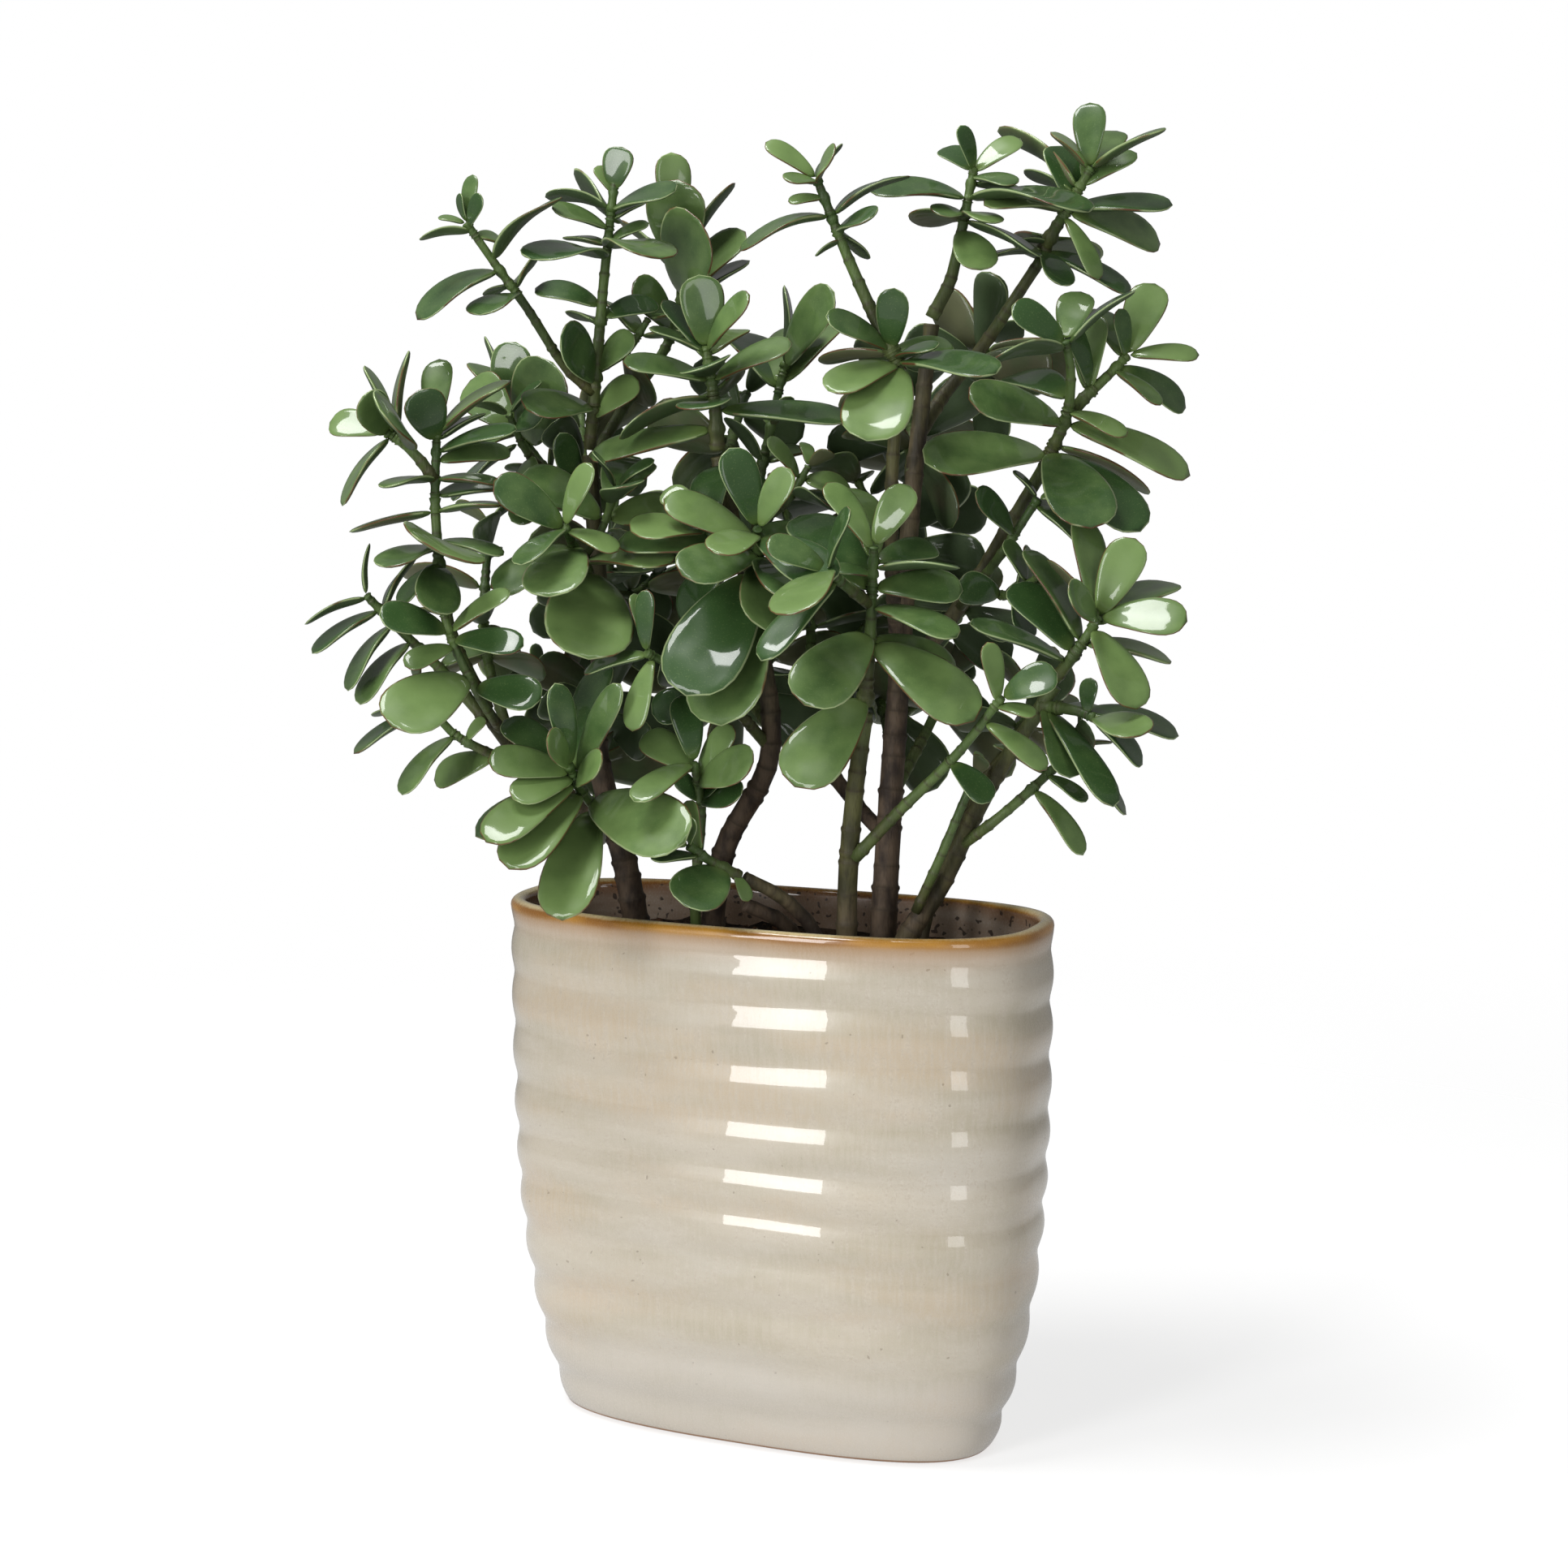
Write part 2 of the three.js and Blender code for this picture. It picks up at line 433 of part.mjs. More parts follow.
    path: [[-24, -13, 430], [-20, 30, 452], [-14, 64, 472]],
    at: [0.4, 0.6, 0.8, 1], roll: 40, leaf: 42, twigs: [],
  },
  shoot_back_low_left: {
    path: [[-69, 8, 262], [-82, 50, 280], [-95, 88, 306]],
    at: [0.35, 0.57, 0.79, 1], roll: 10, leaf: 44, twigs: [],
  },
  shoot_back_low_right: {
    path: [[52, -4, 292], [74, 45, 325], [86, 88, 350]],
    at: [0.6, 0.8, 1], roll: 20, leaf: 44, twigs: [],
  },
};

// ---------------------------------------------------------------- small tools
const vec = (p) => new THREE.Vector3(...p);
const curveOf = (path) => {
  const points = path.map((p) => vec(p).applyAxisAngle(vec([0, 0, 1]), PLANT_TURN));
  return new THREE.CatmullRomCurve3(points, false, "centripetal");
};
const unevenness = (a, b) => {
  const v = Math.sin(a * 12.9898 + b * 78.233) * 43758.5453;
  return 2 * (v - Math.floor(v)) - 1; // from -1 to 1, the same each time
};

// Moves each point of a three.js geometry by a rule, and makes it a closed solid.
function shaped(geometry, rule) {
  geometry.deleteAttribute("normal");
  geometry.deleteAttribute("uv");
  const place = geometry.getAttribute("position");
  for (let i = 0; i < place.count; i++) {
    const p = rule(new THREE.Vector3().fromBufferAttribute(place, i));
    place.setXYZ(i, p.x, p.y, p.z);
  }
  const merged = mergeVertices(geometry, 1e-3);
  const mesh = new wasm.Mesh({
    numProp: 3,
    vertProperties: merged.getAttribute("position").array,
    triVerts: new Uint32Array(merged.index.array),
  });
  return new wasm.Manifold(mesh);
}

// Two directions square to a run along a curve: the first lies level.
function crossAxes(along) {
  const level = new THREE.Vector3(Math.cos(PLANT_TURN), Math.sin(PLANT_TURN), 0);
  const side = level.addScaledVector(along, -level.dot(along)).normalize();
  return [side, new THREE.Vector3().crossVectors(along, side)];
}

// A tapered round stem along a curve.
function stemSolid(curve, [thickFoot, thickTop], sides, steps, swell = 0) {
  const tube = new THREE.CylinderGeometry(thickTop, thickFoot, 1, sides, steps);
  return shaped(tube, (p) => {
    const t = THREE.MathUtils.clamp(p.y + 0.5, 0, 1);
    const [side, front] = crossAxes(curve.getTangentAt(t));
    const radius = Math.hypot(p.x, p.z);
    const grown = radius > 0.01 ? (radius + swell) / radius : 1;
    return curve.getPointAt(t).addScaledVector(side, p.x * grown).addScaledVector(front, -p.z * grown);
  });
}

// ---------------------------------------------------------------- the pot and its soil
const footShare = (z) => Math.pow(1 - z / POT.height, 4);
const lengthAt = (z) => THREE.MathUtils.lerp(POT.halfLength, POT.footLength, footShare(z));
const depthAt = (z) => THREE.MathUtils.lerp(POT.halfDepth, POT.footDepth, footShare(z));

// Turns a lathe of half lengths into the pot's squarish oval.
function ovalSolid(profile) {
  const lathe = new THREE.LatheGeometry(profile.map(([x, z]) => new THREE.Vector2(x, z)), POT.sides);
  return shaped(lathe, (p) => {
    const long = Math.hypot(p.x, p.z);
    if (long < 0.01) return new THREE.Vector3(0, 0, p.y);
    const deep = depthAt(p.y) - (lengthAt(p.y) - long);
    const squared = (v) => Math.sign(v) * Math.pow(Math.abs(v), 2 / POT.squareness);
    return new THREE.Vector3(long * squared(p.x / long), -deep * squared(p.z / long), p.y);
  });
}

function potSolid() {
  const outside = [[lengthAt(0) - 1.5, 0]];
  for (let groove = POT.firstGroove; groove < POT.height; groove += POT.ridgePitch) {
    const crest = groove - POT.ridgePitch / 2;
    outside.push([lengthAt(crest), crest], [lengthAt(groove) - POT.ridgeDepth, groove]);
  }
  const lip = POT.height;
  outside.push([lengthAt(lip) - 1, lip - 3], [lengthAt(lip) - 3, lip], [lengthAt(lip) - POT.wall + 1, lip]);
  const inside = [lip - 4, 140, 70, POT.floor].map((z) => [lengthAt(z) - POT.wall, z]);
  return ovalSolid([[0, 0], ...outside, ...inside, [0, POT.floor]]);
}

function soilSolid() {
  const clear = POT.wall + GAP;
  const floor = POT.floor + GAP;
  const sides = [floor, 70, 140, SOIL_LEVEL - 2].map((z) => [lengthAt(z) - clear - 0.2, z]);
  const top = [[80, SOIL_LEVEL], [0, SOIL_LEVEL + 2]];
  return ovalSolid([[0, floor], ...sides, ...top]);
}

// ---------------------------------------------------------------- leaves
// A leaf is a shallow dish over its own plane: out along it, sideways, and up from its face.
class Leaf {
  constructor(root, out, up, length, width, droop) {
    Object.assign(this, { root, out, up, length, width, droop });
    this.side = new THREE.Vector3().crossVectors(up, out);
    this.middle = root.clone().addScaledVector(out, length / 2);
  }
  halfWidth(u) {
    const foot = 0.1 * Math.pow(1 - u, 2);
    const spoon = 0.77 * Math.pow(u, 0.8) * Math.sqrt(1 - Math.pow(u, 3.4));
    return this.width * (foot + spoon);
  }
  rise(u, v) {
    return LEAF.cup * this.width * v * v * Math.sin(Math.PI * u) - this.droop * this.length * u * u;
  }
  point(u, v, lift = 0) {
    const p = this.root.clone().addScaledVector(this.out, u * this.length);
    return p.addScaledVector(this.side, v * this.halfWidth(u)).addScaledVector(this.up, this.rise(u, v) + lift);
  }
  // How many of another leaf's points come through this one, or within the given reach of it.
  hits(points, reach) {
    let found = 0;
    let before = 0;
    for (const p of points) {
      const d = p.clone().sub(this.root);
      const u = d.dot(this.out) / this.length;
      const across = d.dot(this.side);
      let height = 0;
      if (u > 0.02 && u < 1.04) {
        const half = this.halfWidth(Math.min(u, 0.99)) + reach / 2;
        if (Math.abs(across) < half) height = d.dot(this.up) - this.rise(u, across / half);
      }
      if (height !== 0 && Math.abs(height) < reach) found += 1;
      if (height * before < 0 && Math.abs(height - before) < 0.8 * this.length) found += 1;
      before = height;
    }
    return found;
  }
  // The rim, then the rib, as one walk over the leaf.
  outline() {
    this.walk ??= [
      [0.15, 0], [0.3, 1], [0.55, 1], [0.8, 1], [1, 0], [0.8, -1], [0.55, -1], [0.3, -1],
      [0.35, 0], [0.55, 0.5], [0.7, 0], [0.55, -0.5], [0.85, 0],
    ].map(([u, v]) => this.point(u, v));
    return this.walk;
  }
  solid(swell = 0) {
    const stations = [0, 0.42, 0.84, 1];
    return shaped(new THREE.SphereGeometry(1, 3, 3, Math.PI / 2), (p) => {
      const ring = Math.round((1 - Math.acos(THREE.MathUtils.clamp(p.y, -1, 1)) / Math.PI) * 3);
      const u = stations[ring];
      const end = ring === 0 || ring === 3;
      const v = end ? 0 : Math.sign(Math.round(p.x * 10));
      const face = end ? 0 : v ? 0.35 : -1;
      const thick = LEAF.halfThickness * (1.15 - 0.6 * u) + 2 * swell;
      const q = this.point(u, v, face * thick);
      q.addScaledVector(this.side, v * 2 * swell);
      if (end) q.addScaledVector(this.out, ring ? 2 * swell : -0.02 * this.length - 2 * swell);
      return q;
    });
  }
}

// The shoot itself and its side twigs, which leave it at an angle and bend upwards.
const SEEDS_APART = 60; // keeps the unevenness of a twig's leaves apart from every shoot's
const UPWARDS = new THREE.Vector3(0, 0, 1);
const TWIG = {
  along: 0.55, // its direction at first, along the shoot and away from it
  away: 0.835,
  bendAt: 0.45, // of its length
  rise: 0.7,
  leaf: 0.92, // of the shoot's longest leaf
  thick: [2, 1.4],
  longFrom: 35, // a twig this long carries four pairs of leaves
};
// step: how far apart along an axis its points for the crowding test lie.
function axesOf(shoot) {
  const curve = curveOf(shoot.path);
  const thick = [0.035 * shoot.leaf + 1.4, 1.7];
  const { at, roll, leaf, path } = shoot;
  const main = { curve, at, roll, leaf, thick, steps: path.length, step: 0.15 };
  const twigs = shoot.twigs.map(([from, turn, length]) => {
    const along = curve.getTangentAt(from);
    const [side, front] = crossAxes(along);
    const a = THREE.MathUtils.degToRad(turn);
    const radial = side.clone().multiplyScalar(Math.cos(a)).addScaledVector(front, Math.sin(a));
    const out = along.clone().multiplyScalar(TWIG.along).addScaledVector(radial, TWIG.away);
    const start = curve.getPointAt(from);
    const bend = start.clone().addScaledVector(out, length * TWIG.bendAt);
    const rising = out.clone().addScaledVector(UPWARDS, TWIG.rise).normalize();
    const tip = bend.clone().addScaledVector(rising, length * (1 - TWIG.bendAt));
    return {
      curve: new THREE.CatmullRomCurve3([start, bend, tip], false, "centripetal"),
      at: length > TWIG.longFrom ? [0.38, 0.6, 0.81, 1] : [0.45, 0.74, 1],
      roll: turn + 45, leaf: leaf * TWIG.leaf, thick: TWIG.thick, steps: 2, step: 0.25,
    };
  });
  return [main, ...twigs];
}

// How many points of the other leaves, the stems and the pot a leaf comes too near.
const REACH = 3.2; // between leaves of different pairs
const SIBLING_REACH = 0.6; // between leaves that leave the stem at one place
const ONE_PLACE = 4; // roots nearer than this are siblings
const MEETING = 0.62; // of two lengths, how far apart leaves that may meet have their middles
const STEM_REACH = 5.5; // between a leaf and a stem
const OWN_STEM = 9; // this near its root a leaf may touch the stem
function crowding(leaf, others, stemPoints) {
  const walk = leaf.outline();
  let cost = 0;
  for (const other of others) {
    if (other.middle.distanceTo(leaf.middle) > (other.length + leaf.length) * MEETING) continue;
    const sibling = other.root.distanceTo(leaf.root) < ONE_PLACE;
    const reach = sibling ? SIBLING_REACH : REACH;
    const skip = sibling ? 1 : 0;
    cost += other.hits(walk.slice(skip), reach) + leaf.hits(other.outline().slice(skip), reach);
  }
  for (const p of stemPoints) if (p.distanceTo(leaf.root) > OWN_STEM) cost += leaf.hits([p], STEM_REACH);
  for (const p of walk) if (p.z < POT.height + 3 && insidePot(p)) cost += 2;
  return cost;
}

// The leaves with a measured tip. A tip may shift forwards or back to miss the leaves already there.
const TO_VIEWER = vec([0, -1, 0.3]).applyAxisAngle(UPWARDS, PLANT_TURN).normalize();
const SHIFTS = [0, -10, 10, -20, 20, -30, 30];
const LEAST_FACING = 0.62; // a leaf seen edge on is not made wider than this allows
function placeLeaves({ curve }, rows, grown, stemPoints) {
  const made = [];
  for (const [share, across, back, height, wide, face, droop = LEAF.droop] of rows) {
    const root = curve.getPointAt(share);
    const tilt = THREE.MathUtils.degToRad(face);
    let best = null;
    for (const shift of SHIFTS) {
      const tip = vec([across, back + shift, height]).applyAxisAngle(UPWARDS, PLANT_TURN);
      const span = tip.distanceTo(root);
      const chord = tip.sub(root).divideScalar(span);
      const ahead = TO_VIEWER.clone().addScaledVector(chord, -TO_VIEWER.dot(chord)).normalize();
      const edge = new THREE.Vector3().crossVectors(chord, ahead);
      if (edge.z < 0) edge.negate();
      const up = ahead.multiplyScalar(Math.sin(tilt)).addScaledVector(edge, Math.cos(tilt));
      const out = chord.clone().addScaledVector(up, droop).normalize();
      up.addScaledVector(out, -up.dot(out)).normalize();
      const width = (span * wide) / Math.max(LEAST_FACING, Math.sin(tilt));
      const leaf = new Leaf(root, out, up, span / Math.hypot(1, droop), width, droop);
      const cost = Math.abs(shift) / 1000 + crowding(leaf, [...grown, ...made], stemPoints);
      if (!best || cost < best.cost) best = { cost, leaf };
      if (cost < 0.5) break;
    }
    made.push(best.leaf);
  }
  return made;
}

// Leaf pairs of one stalk, each pair square to the last. A leaf swings or lifts to miss its neighbours.
const SWINGS = [
  [0, 0], [14, 0], [-14, 0], [0, 14], [0, -14], [20, 14], [-20, 14], [20, -14], [-20, -14],
  [32, 0], [-32, 0], [0, 28], [32, 24], [-32, 24], [0, -30],
];
function growLeaves({ curve, at, roll, leaf: longest }, index, grown, stemPoints) {
  const pairs = at.length;
  const made = [];
  at.forEach((t, pair) => {
    const young = pairs - 1 - pair;
    const along = curve.getTangentAt(Math.min(t, 0.98));
    const [side, front] = crossAxes(along);
    for (const half of [0, 1]) {
      const seed = index * 31 + pair * 2 + half;
      const size = Math.min(1, 0.5 + 0.27 * young) * (1 - 0.05 * Math.max(0, young - 2));
      const length = longest * size * (1 + 0.12 * unevenness(seed, 1));
      const width = length * LEAF.width * (1 + 0.16 * unevenness(seed, 2));
      const droop = LEAF.droop * (1 + 0.7 * unevenness(seed, 6));
      let best = null;
      for (const [swing, lift] of SWINGS) {
        const turn = roll + 90 * pair + 180 * half + 12 * unevenness(seed, 3) + swing;
        const open = Math.min(108, 40 + 18 * young) + 9 * unevenness(seed, 4) - lift;
        const a = THREE.MathUtils.degToRad(turn);
        const b = THREE.MathUtils.degToRad(open);
        const radial = side.clone().multiplyScalar(Math.cos(a)).addScaledVector(front, Math.sin(a));
        const out = along.clone().multiplyScalar(Math.cos(b)).addScaledVector(radial, Math.sin(b));
        const up = along.clone().multiplyScalar(Math.sin(b)).addScaledVector(radial, -Math.cos(b));
        const outwards = outOfCrown(curve.getPointAt(t));
        const lean = LEAF.facing * out.dot(new THREE.Vector3().crossVectors(up, outwards));
        up.applyAxisAngle(out, THREE.MathUtils.degToRad(lean + 14 * unevenness(seed, 5)));
        const root = curve.getPointAt(t).addScaledVector(radial, young ? 0.8 : 0.4);
        const leaf = new Leaf(root, out, up, length, width, droop);
        const swung = (Math.abs(swing) + Math.abs(lift)) / 1000;
        const cost = swung + crowding(leaf, [...grown, ...made], stemPoints);
        if (!best || cost < best.cost) best = { cost, leaf };
        if (cost < 0.5) break;
      }
      if (best.cost < 3) made.push(best.leaf);
    }
  });
  return made;
}
// Which way is out of the crown at a point: level, from a core a little behind the middle.
const outOfCrown = (p) => {
  const core = vec([0, 60, p.z]).applyAxisAngle(UPWARDS, PLANT_TURN);
  return p.clone().sub(core).normalize();
};
const insidePot = (p) => {
  const share = (v, half) => Math.pow(Math.abs(v) / (half + 2), POT.squareness);
  return share(p.x, POT.halfLength) + share(p.y, POT.halfDepth) < 1;
};

// ---------------------------------------------------------------- putting it together
const finishes = {
  pot: new THREE.MeshStandardMaterial({ color: 0xcdc3b4, roughness: 0.25, metalness: 0 }),
  soil: new THREE.MeshStandardMaterial({ color: 0x2b2522, roughness: 0.95, metalness: 0 }),
  bark: new THREE.MeshStandardMaterial({ color: 0x5a5140, roughness: 0.8, metalness: 0 }),
  leaf: new THREE.MeshStandardMaterial({ color: 0x5f7f45, roughness: 0.35, metalness: 0 }),
};

const plant = new THREE.Group();
function addMesh(name, solid, finish) {
  const { numProp, vertProperties, triVerts } = solid.getMesh();
  if (numProp !== 3) throw new Error(name + " carries more than its points");
  const geometry = new THREE.BufferGeometry();
  geometry.setAttribute("position", new THREE.BufferAttribute(vertProperties, 3));
  geometry.setIndex(new THREE.BufferAttribute(triVerts, 1));
  geometry.computeVertexNormals();
  const mesh = new THREE.Mesh(geometry, finish);
  mesh.name = name;
  plant.add(mesh);
}

// Cuts a solid clear of the neighbours it touches, and keeps its largest piece.
const touching = (a, b) => {
  const [p, q] = [a.boundingBox(), b.boundingBox()];
  return [0, 1, 2].every((i) => p.min[i] < q.max[i] && q.min[i] < p.max[i]);
};
const cutClear = (solid, neighbours) =>
  neighbours.filter((n) => touching(solid, n)).reduce((left, n) => left.subtract(n), solid);
const largest = (solid) =>
  solid.simplify(FUSE).decompose().sort((a, b) => b.volume() - a.volume())[0];

const pot = potSolid();
addMesh("pot", pot, finishes.pot);

const stemPoints = [];
for (const { path } of Object.values(WOODY_STEMS)) {
  const curve = curveOf(path);
  for (let t = 0; t <= 1; t += 0.08) stemPoints.push(curve.getPointAt(t));
}
const woodySwollen = [];
for (const [name, { path, thick }] of Object.entries(WOODY_STEMS)) {
  const curve = curveOf(path);
  const steps = 2 * (path.length - 1);
  addMesh(name, largest(cutClear(stemSolid(curve, thick, 7, steps), woodySwollen)), finishes.bark);
  woodySwollen.push(stemSolid(curve, thick, 7, steps, GAP * 1.2));
}

const shoots = Object.entries(SHOOTS).map(([name, shoot]) => ({ name, shoot, axes: axesOf(shoot) }));
for (const { curve, step } of shoots.flatMap(({ axes }) => axes)) {
  for (let t = 0.1; t < 1; t += step) stemPoints.push(curve.getPointAt(t));
}
const allLeaves = [];
for (const one of shoots) {
  one.leaves = placeLeaves(one.axes[0], one.shoot.placed ?? [], allLeaves, stemPoints);
  allLeaves.push(...one.leaves);
}
const swollen = [...woodySwollen];
shoots.forEach(({ name, axes, leaves }, index) => {
  const stems = [];
  axes.forEach((axis, k) => {
    const grown = growLeaves(axis, index + k * SEEDS_APART, allLeaves, stemPoints);
    leaves.push(...grown);
    allLeaves.push(...grown);
    stems.push((swell) => stemSolid(axis.curve, axis.thick, 4, axis.steps, swell));
  });
  let solid = null;
  for (const stem of stems) {
    const cut = cutClear(stem(0), swollen);
    solid = solid ? solid.add(cut) : cut;
  }
  for (const leaf of leaves) solid = solid.add(cutClear(leaf.solid(), swollen));
  addMesh(name, largest(solid), finishes.leaf);
  for (const stem of stems) swollen.push(stem(GAP * 1.4));
  for (const leaf of leaves) swollen.push(leaf.solid(GAP));
});

addMesh("soil", largest(cutClear(soilSolid(), swollen)), finishes.soil);

export default plant;
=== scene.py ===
"""A jade plant in an oval ridged planter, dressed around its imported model. Metres, +Z up."""
import math

import bmesh
import bpy
import numpy as np
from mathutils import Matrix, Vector, noise


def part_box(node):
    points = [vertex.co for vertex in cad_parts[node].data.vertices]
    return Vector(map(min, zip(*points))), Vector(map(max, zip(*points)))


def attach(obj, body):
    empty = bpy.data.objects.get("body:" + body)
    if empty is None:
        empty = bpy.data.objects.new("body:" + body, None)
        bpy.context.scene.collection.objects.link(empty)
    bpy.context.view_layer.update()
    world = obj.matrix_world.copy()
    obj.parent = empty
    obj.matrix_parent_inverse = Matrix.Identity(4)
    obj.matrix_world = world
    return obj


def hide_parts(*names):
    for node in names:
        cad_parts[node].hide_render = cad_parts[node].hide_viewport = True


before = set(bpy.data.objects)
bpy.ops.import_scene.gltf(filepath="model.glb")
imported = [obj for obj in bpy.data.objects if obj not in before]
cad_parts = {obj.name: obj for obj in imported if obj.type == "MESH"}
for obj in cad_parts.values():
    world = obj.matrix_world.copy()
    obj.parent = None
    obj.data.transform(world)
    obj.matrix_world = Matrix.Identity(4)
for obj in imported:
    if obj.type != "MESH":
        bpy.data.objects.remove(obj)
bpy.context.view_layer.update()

# ------------------------------ camera, floor and light
# The camera stands off the pot's right front corner, a little above the soil, and looks slightly
# down. The floor is a wide pale disc that fades out against a white backdrop, lit by large soft lamps.
VIEW_TURN = math.radians(23.7)
VIEW_DISTANCE, VIEW_HEIGHT, VIEW_TILT = 1.271, 0.462, math.radians(7.4)


def seen_from_front(across, back, up):
    """A point given across, behind and above the plant's own front, in the pot's directions."""
    c, s = math.cos(VIEW_TURN), math.sin(VIEW_TURN)
    return Vector((across * c - back * s, across * s + back * c, up))


camera = bpy.data.objects.new("camera", bpy.data.cameras.new("camera"))
bpy.context.scene.collection.objects.link(camera)
camera.location = seen_from_front(0, -VIEW_DISTANCE, VIEW_HEIGHT)
camera.rotation_euler = (math.pi / 2 - VIEW_TILT, 0, VIEW_TURN)
camera.data.lens = 65.2
camera.data.shift_x = 0.0047
bpy.context.scene.camera = camera


class Shade:
    """One output among a material's nodes. Python's operators on it add Math nodes."""

    def __init__(self, tree, socket=None):
        self.tree, self.socket = tree, socket

    def add(self, kind, settings=None, inputs=None, output=0):
        made = self.tree.nodes.new(kind)
        for name, value in (settings or {}).items():
            setattr(made, name, value)
        for name, value in (inputs or {}).items():
            if isinstance(value, Shade):
                self.tree.links.new(value.socket, made.inputs[name])
            else:
                made.inputs[name].default_value = value
        return Shade(self.tree, made.outputs[output])

    def maths(self, operation, first, second):
        return self.add("ShaderNodeMath", {"operation": operation}, {0: first, 1: second})

    def __add__(self, other):
        return self.maths("ADD", self, other)

    def __sub__(self, other):
        return self.maths("SUBTRACT", self, other)

    def __mul__(self, other):
        return self.maths("MULTIPLY", self, other)

    def __rsub__(self, other):
        return self.maths("SUBTRACT", other, self)

    __radd__, __rmul__ = __add__, __mul__

    def rise(self, low, high):
        """0 up to low, 1 from high, smooth between."""
        smooth = {"interpolation_type": "SMOOTHSTEP"}
        return self.add("ShaderNodeMapRange", smooth, {0: self, 1: low, 2: high})

    def between(self, first, second):
        """The first colour where this is 0, and the second where it is 1."""
        return self.add("ShaderNodeMix", {"data_type": "RGBA"}, {0: self, 6: first, 7: second}, output=2)


def paint(red, green, blue):
    """A colour given as on a paint chart, each part from 0 to 255, in linear light."""
    shares = (part / 255 for part in (red, green, blue))
    return (*(s / 12.92 if s < 0.0405 else ((s + 0.055) / 1.055) ** 2.4 for s in shares), 1)


class Finish:
    """A material with one shader. Constants are set on it, and what varies is joined on."""

    def __init__(self, name, **constants):
        self.material = bpy.data.materials.new(name)
        self.material.use_nodes = True
        self.tree = self.material.node_tree
        self.shader = self.tree.nodes["Principled BSDF"]
        self.start = Shade(self.tree)
        for socket, value in constants.items():
            self.shader.inputs[socket.replace("_", " ")].default_value = value

    def join(self, **varying):
        for socket, shade in varying.items():
            self.tree.links.new(shade.socket, self.shader.inputs[socket.replace("_", " ")])

    def place(self):
        return self.start.add("ShaderNodeTexCoord", output=3)

    def mark(self, name):
        return self.start.add("ShaderNodeAttribute", {"attribute_name": name}, output=2)

    def grain(self, place, stretch, detail):
        """Noise over a place, with so many grains a metre each way."""
        scaled = place.add("ShaderNodeVectorMath", {"operation": "MULTIPLY"}, {0: place, 1: stretch})
        return scaled.add("ShaderNodeTexNoise", inputs={"Vector": scaled, "Scale": 1, "Detail": detail})

    def relief(self, height, depth):
        """Raises the surface by a height from 0 to 1 times a depth in metres."""
        self.join(Normal=height.add("ShaderNodeBump", inputs={"Distance": depth, "Height": height}))


floor_mesh = bmesh.new()
bmesh.ops.create_circle(floor_mesh, cap_ends=True, radius=6, segments=64)
floor_data = bpy.data.meshes.new("floor")
floor_mesh.to_mesh(floor_data)
floor_mesh.free()
floor = bpy.data.objects.new("floor", floor_data)
bpy.context.scene.collection.objects.link(floor)
pale_paint = Finish("pale_paint", Base_Color=(0.9, 0.9, 0.9, 1), Roughness=0.8,
                    Emission_Color=(1, 1, 1, 1), Emission_Strength=0.4)
from_pot = pale_paint.start.add("ShaderNodeVectorMath", {"operation": "LENGTH"}, {0: pale_paint.place()}, 1)
pale_paint.join(Alpha=0.5 - from_pot.rise(0.35, 1.3) * 0.5)
floor_data.materials.append(pale_paint.material)

world = bpy.data.worlds.new("studio")
world.use_nodes = True
backdrop = world.node_tree.nodes["Background"]
backdrop.inputs["Color"].default_value = (1, 1, 1, 1)
backdrop_light = world.node_tree.nodes.new("ShaderNodeMapRange")
backdrop_light.inputs["To Min"].default_value = 0.21
backdrop_light.inputs["To Max"].default_value = 1.0
paths = world.node_tree.nodes.new("ShaderNodeLightPath")
world.node_tree.links.new(paths.outputs["Is Camera Ray"], backdrop_light.inputs["Value"])
world.node_tree.links.new(backdrop_light.outputs[0], backdrop.inputs["Strength"])
bpy.context.scene.world = world
bpy.context.scene.view_settings.view_transform = "Standard"


def soft_lamp(name, place, target, width, height, power):
    lamp = bpy.data.objects.new(name, bpy.data.lights.new(name, "AREA"))
    bpy.context.scene.collection.objects.link(lamp)
    lamp.data.shape = "RECTANGLE"
    lamp.data.size, lamp.data.size_y = width, height
    lamp.data.energy = power
    lamp.location = seen_from_front(*place)
    lamp.rotation_euler = (seen_from_front(*target) - lamp.location).to_track_quat("-Z", "Y").to_euler()


soft_lamp("left_window", (-1.29, -1.53, 0.93), (0, 0, 0.93), 0.46, 1.8, 27)
soft_lamp("right_window", (0.65, -1.89, 0.93), (0, 0, 0.93), 0.42, 1.8, 9.0)
soft_lamp("top_lamp", (-0.6, -0.2, 2.2), (0, 0, 0.4), 0.8, 0.8, 33)

# ------------------------------ the pot
# A stoneware planter thrown with ten soft ridges and pressed to a squarish oval. Its cream glaze is
# speckled and streaked, breaks amber on the lip, and stops just above the bare clay of the foot.
_, pot_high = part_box("pot")
POT_HEIGHT = pot_high.z
RIM_LENGTH, RIM_DEPTH = pot_high.x, pot_high.y
FOOT_LENGTH, FOOT_DEPTH = 0.8125 * RIM_LENGTH, 0.678 * RIM_DEPTH
SQUARENESS, FOOT_TAPER = 2.7, 4
RIDGE_PITCH, FIRST_GROOVE, RIDGE_DEPTH = 0.0233, 0.0188, 0.0020
GROOVE_ROUNDING = 0.06
WALL, INSIDE_FLOOR = 0.007, 0.012
LIP_BASE = POT_HEIGHT - WALL / 2 - 0.0009
FOOT_EDGE, FOOT_BEVEL = 0.0016, ((0, 0.0042), (0.0004, 0.0028))
